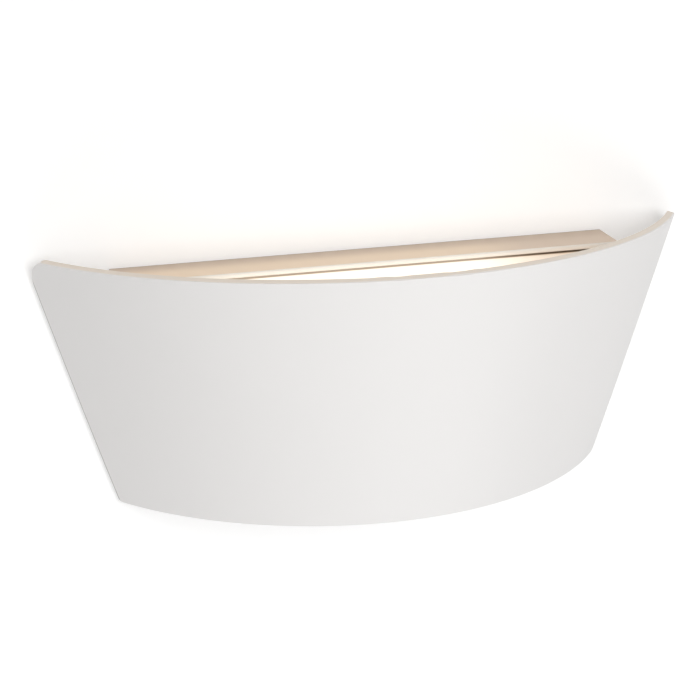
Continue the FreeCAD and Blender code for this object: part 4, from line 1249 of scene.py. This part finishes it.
# ---------------------------------------------------------------- stage, lights and camera

@dataclass(frozen=True)
class SoftBox:
    """A soft box that faces the sconce."""

    name: str
    place: tuple[float, float, float]
    size: tuple[float, float]
    power: float
    colour: Colour = WHITE

    def build(self, aim: Vector) -> None:
        """Add the box.

        Args:
            aim: the point it faces.
        """
        data = bpy.data.lights.new(self.name, "AREA")
        data.shape = "RECTANGLE"
        data.size, data.size_y = self.size
        data.energy = self.power
        data.color = self.colour
        made = bpy.data.objects.new(self.name, data)
        made.location = self.place
        made.rotation_euler = (aim - made.location).to_track_quat("-Z", "Y").to_euler()
        bpy.context.scene.collection.objects.link(made)


SOFT_BOXES = (
    SoftBox("key", (0.3, -1.7, 0.5), (0.9, 0.9), 15.0),
    SoftBox("fill", (-0.8, -1.7, -0.4), (1.6, 1.6), 9.5),
    SoftBox("low", (0.7, -1.15, -1.3), (1.6, 1.1), 7.5),
    SoftBox("overhead", (-0.2, -0.5, 1.6), (1.2, 1.0), 4.0, (1.0, 0.8, 0.6)),
)


@dataclass
class Studio:
    """A pale wall and floor, and the soft lights."""

    wall_half: float = 1.6
    floor_drop: float = 1.6
    wall_clearance: float = 0.6 * MM
    wall_colour: Colour = (0.74, 0.74, 0.74)
    wall_glow: float = 0.34
    floor_colour: Colour = (0.86, 0.86, 0.855)
    floor_glow: float = 0.1
    sky: float = 0.16
    aim: tuple[float, float, float] = (0.0, -0.05, -0.03)

    def pale(self, name: str, colour: Colour, glow: float) -> bpy.types.Material:
        """A pale matt surface that shows only from its front.

        Args:
            name: the material's name.
            colour: its colour.
            glow: light of its own, which keeps it white.

        Returns:
            The material.
        """
        graph = Surface(name)
        clouds = graph.noise(0.8, 2.0)
        tone = graph.mix(clouds, scaled(colour, 0.99), scaled(colour, 1.01))
        front = graph.node("ShaderNodeBsdfPrincipled", Base_Color=tone, Roughness=0.9,
                           Emission_Color=WHITE, Emission_Strength=glow)
        clear = graph.node("ShaderNodeBsdfTransparent")
        side = graph.node("ShaderNodeNewGeometry").outputs["Backfacing"]
        graph.switch(side, front, clear)
        return graph.material

    def plane(self, name: str, material: bpy.types.Material, matrix: Matrix) -> None:
        """Add a stage plane.

        Args:
            name: its name.
            material: its finish.
            matrix: its place.
        """
        mesh = bmesh.new()
        bmesh.ops.create_grid(mesh, x_segments=4, y_segments=4, size=self.wall_half)
        bmesh.ops.transform(mesh, verts=mesh.verts, matrix=matrix)
        data = bpy.data.meshes.new(name)
        mesh.to_mesh(data)
        mesh.free()
        data.materials.append(material)
        made = bpy.data.objects.new(name, data)
        bpy.context.scene.collection.objects.link(made)

    def build(self) -> None:
        """Set the stage, the world and the lights."""
        white = self.pale("wall_white", self.wall_colour, self.wall_glow)
        floor = self.pale("floor_white", self.floor_colour, self.floor_glow)
        upright = Matrix.Translation((0, self.wall_clearance, self.wall_half - self.floor_drop))
        self.plane("wall_backdrop", white, upright @ Matrix.Rotation(math.radians(90), 4, "X"))
        self.plane("floor", floor, Matrix.Translation((0, -self.wall_half, -self.floor_drop)))
        for box in SOFT_BOXES:
            box.build(Vector(self.aim))
        self.world()

    def world(self) -> None:
        """A dim even sky that shows white."""
        world = bpy.data.worlds.new("pale_world")
        world.use_nodes = True
        graph = Graph(world.node_tree, "ShaderNodeOutputWorld")
        sky = graph.node("ShaderNodeBackground", Color=WHITE, Strength=self.sky)
        backdrop = graph.node("ShaderNodeBackground", Color=WHITE, Strength=1.0)
        graph.switch(graph.node("ShaderNodeLightPath").outputs["Is Camera Ray"], sky, backdrop)
        bpy.context.scene.world = world


@dataclass
class PhotoCamera:
    """The photograph's view, for a square frame."""

    place: tuple[float, float, float] = (-0.34549, -1.12132, 0.34793)
    pitch: float = 17.9434
    yaw: float = 16.8363
    lens: float = 121.446
    sensor: float = 36.0

    def build(self) -> None:
        """Add the camera and make it the scene's."""
        data = bpy.data.cameras.new("camera")
        data.lens = self.lens
        data.sensor_width = self.sensor
        made = bpy.data.objects.new("camera", data)
        made.location = self.place
        made.rotation_euler = (math.radians(90 - self.pitch), 0, math.radians(-self.yaw))
        bpy.context.scene.collection.objects.link(made)
        bpy.context.scene.camera = made


# ---------------------------------------------------------------- main

def dress(nodes: dict[str, bpy.types.Object], record: dict) -> None:
    """Give every node the finish of its slot.

    Args:
        nodes: the frame's nodes.
        record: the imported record.
    """
    slots = {row["node"]: row["material_slot"] for row in record["subparts"]}
    for name, node in nodes.items():
        node.data.materials.clear()
        node.data.materials.append(bpy.data.materials[slots[name]])
        smooth_by_angle(node)


def corners(box: tuple[Vector, Vector]) -> list[list[float]]:
    """A box as plain lists."""
    return [list(corner) for corner in box]


def main() -> None:
    """Build the looks around the frame."""
    logging.basicConfig(level=logging.INFO, format="%(name)s: %(message)s")
    for old in list(bpy.data.objects):
        bpy.data.objects.remove(old)
    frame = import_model()
    bpy.context.scene.view_settings.view_transform = "Standard"
    for finish in FINISHES:
        finish.material()
    dress(frame["nodes"], frame["record"])
    PhotoCamera().build()
    Studio().build()
    LOG.info("built %s", FrontPanel().build().name)
    for work in (*EASED, *FASTENERS):
        made = work.build(frame["nodes"])
        LOG.info("built %s with %d faces", made.name, len(made.data.polygons))


if __name__ == "__main__":
    main()
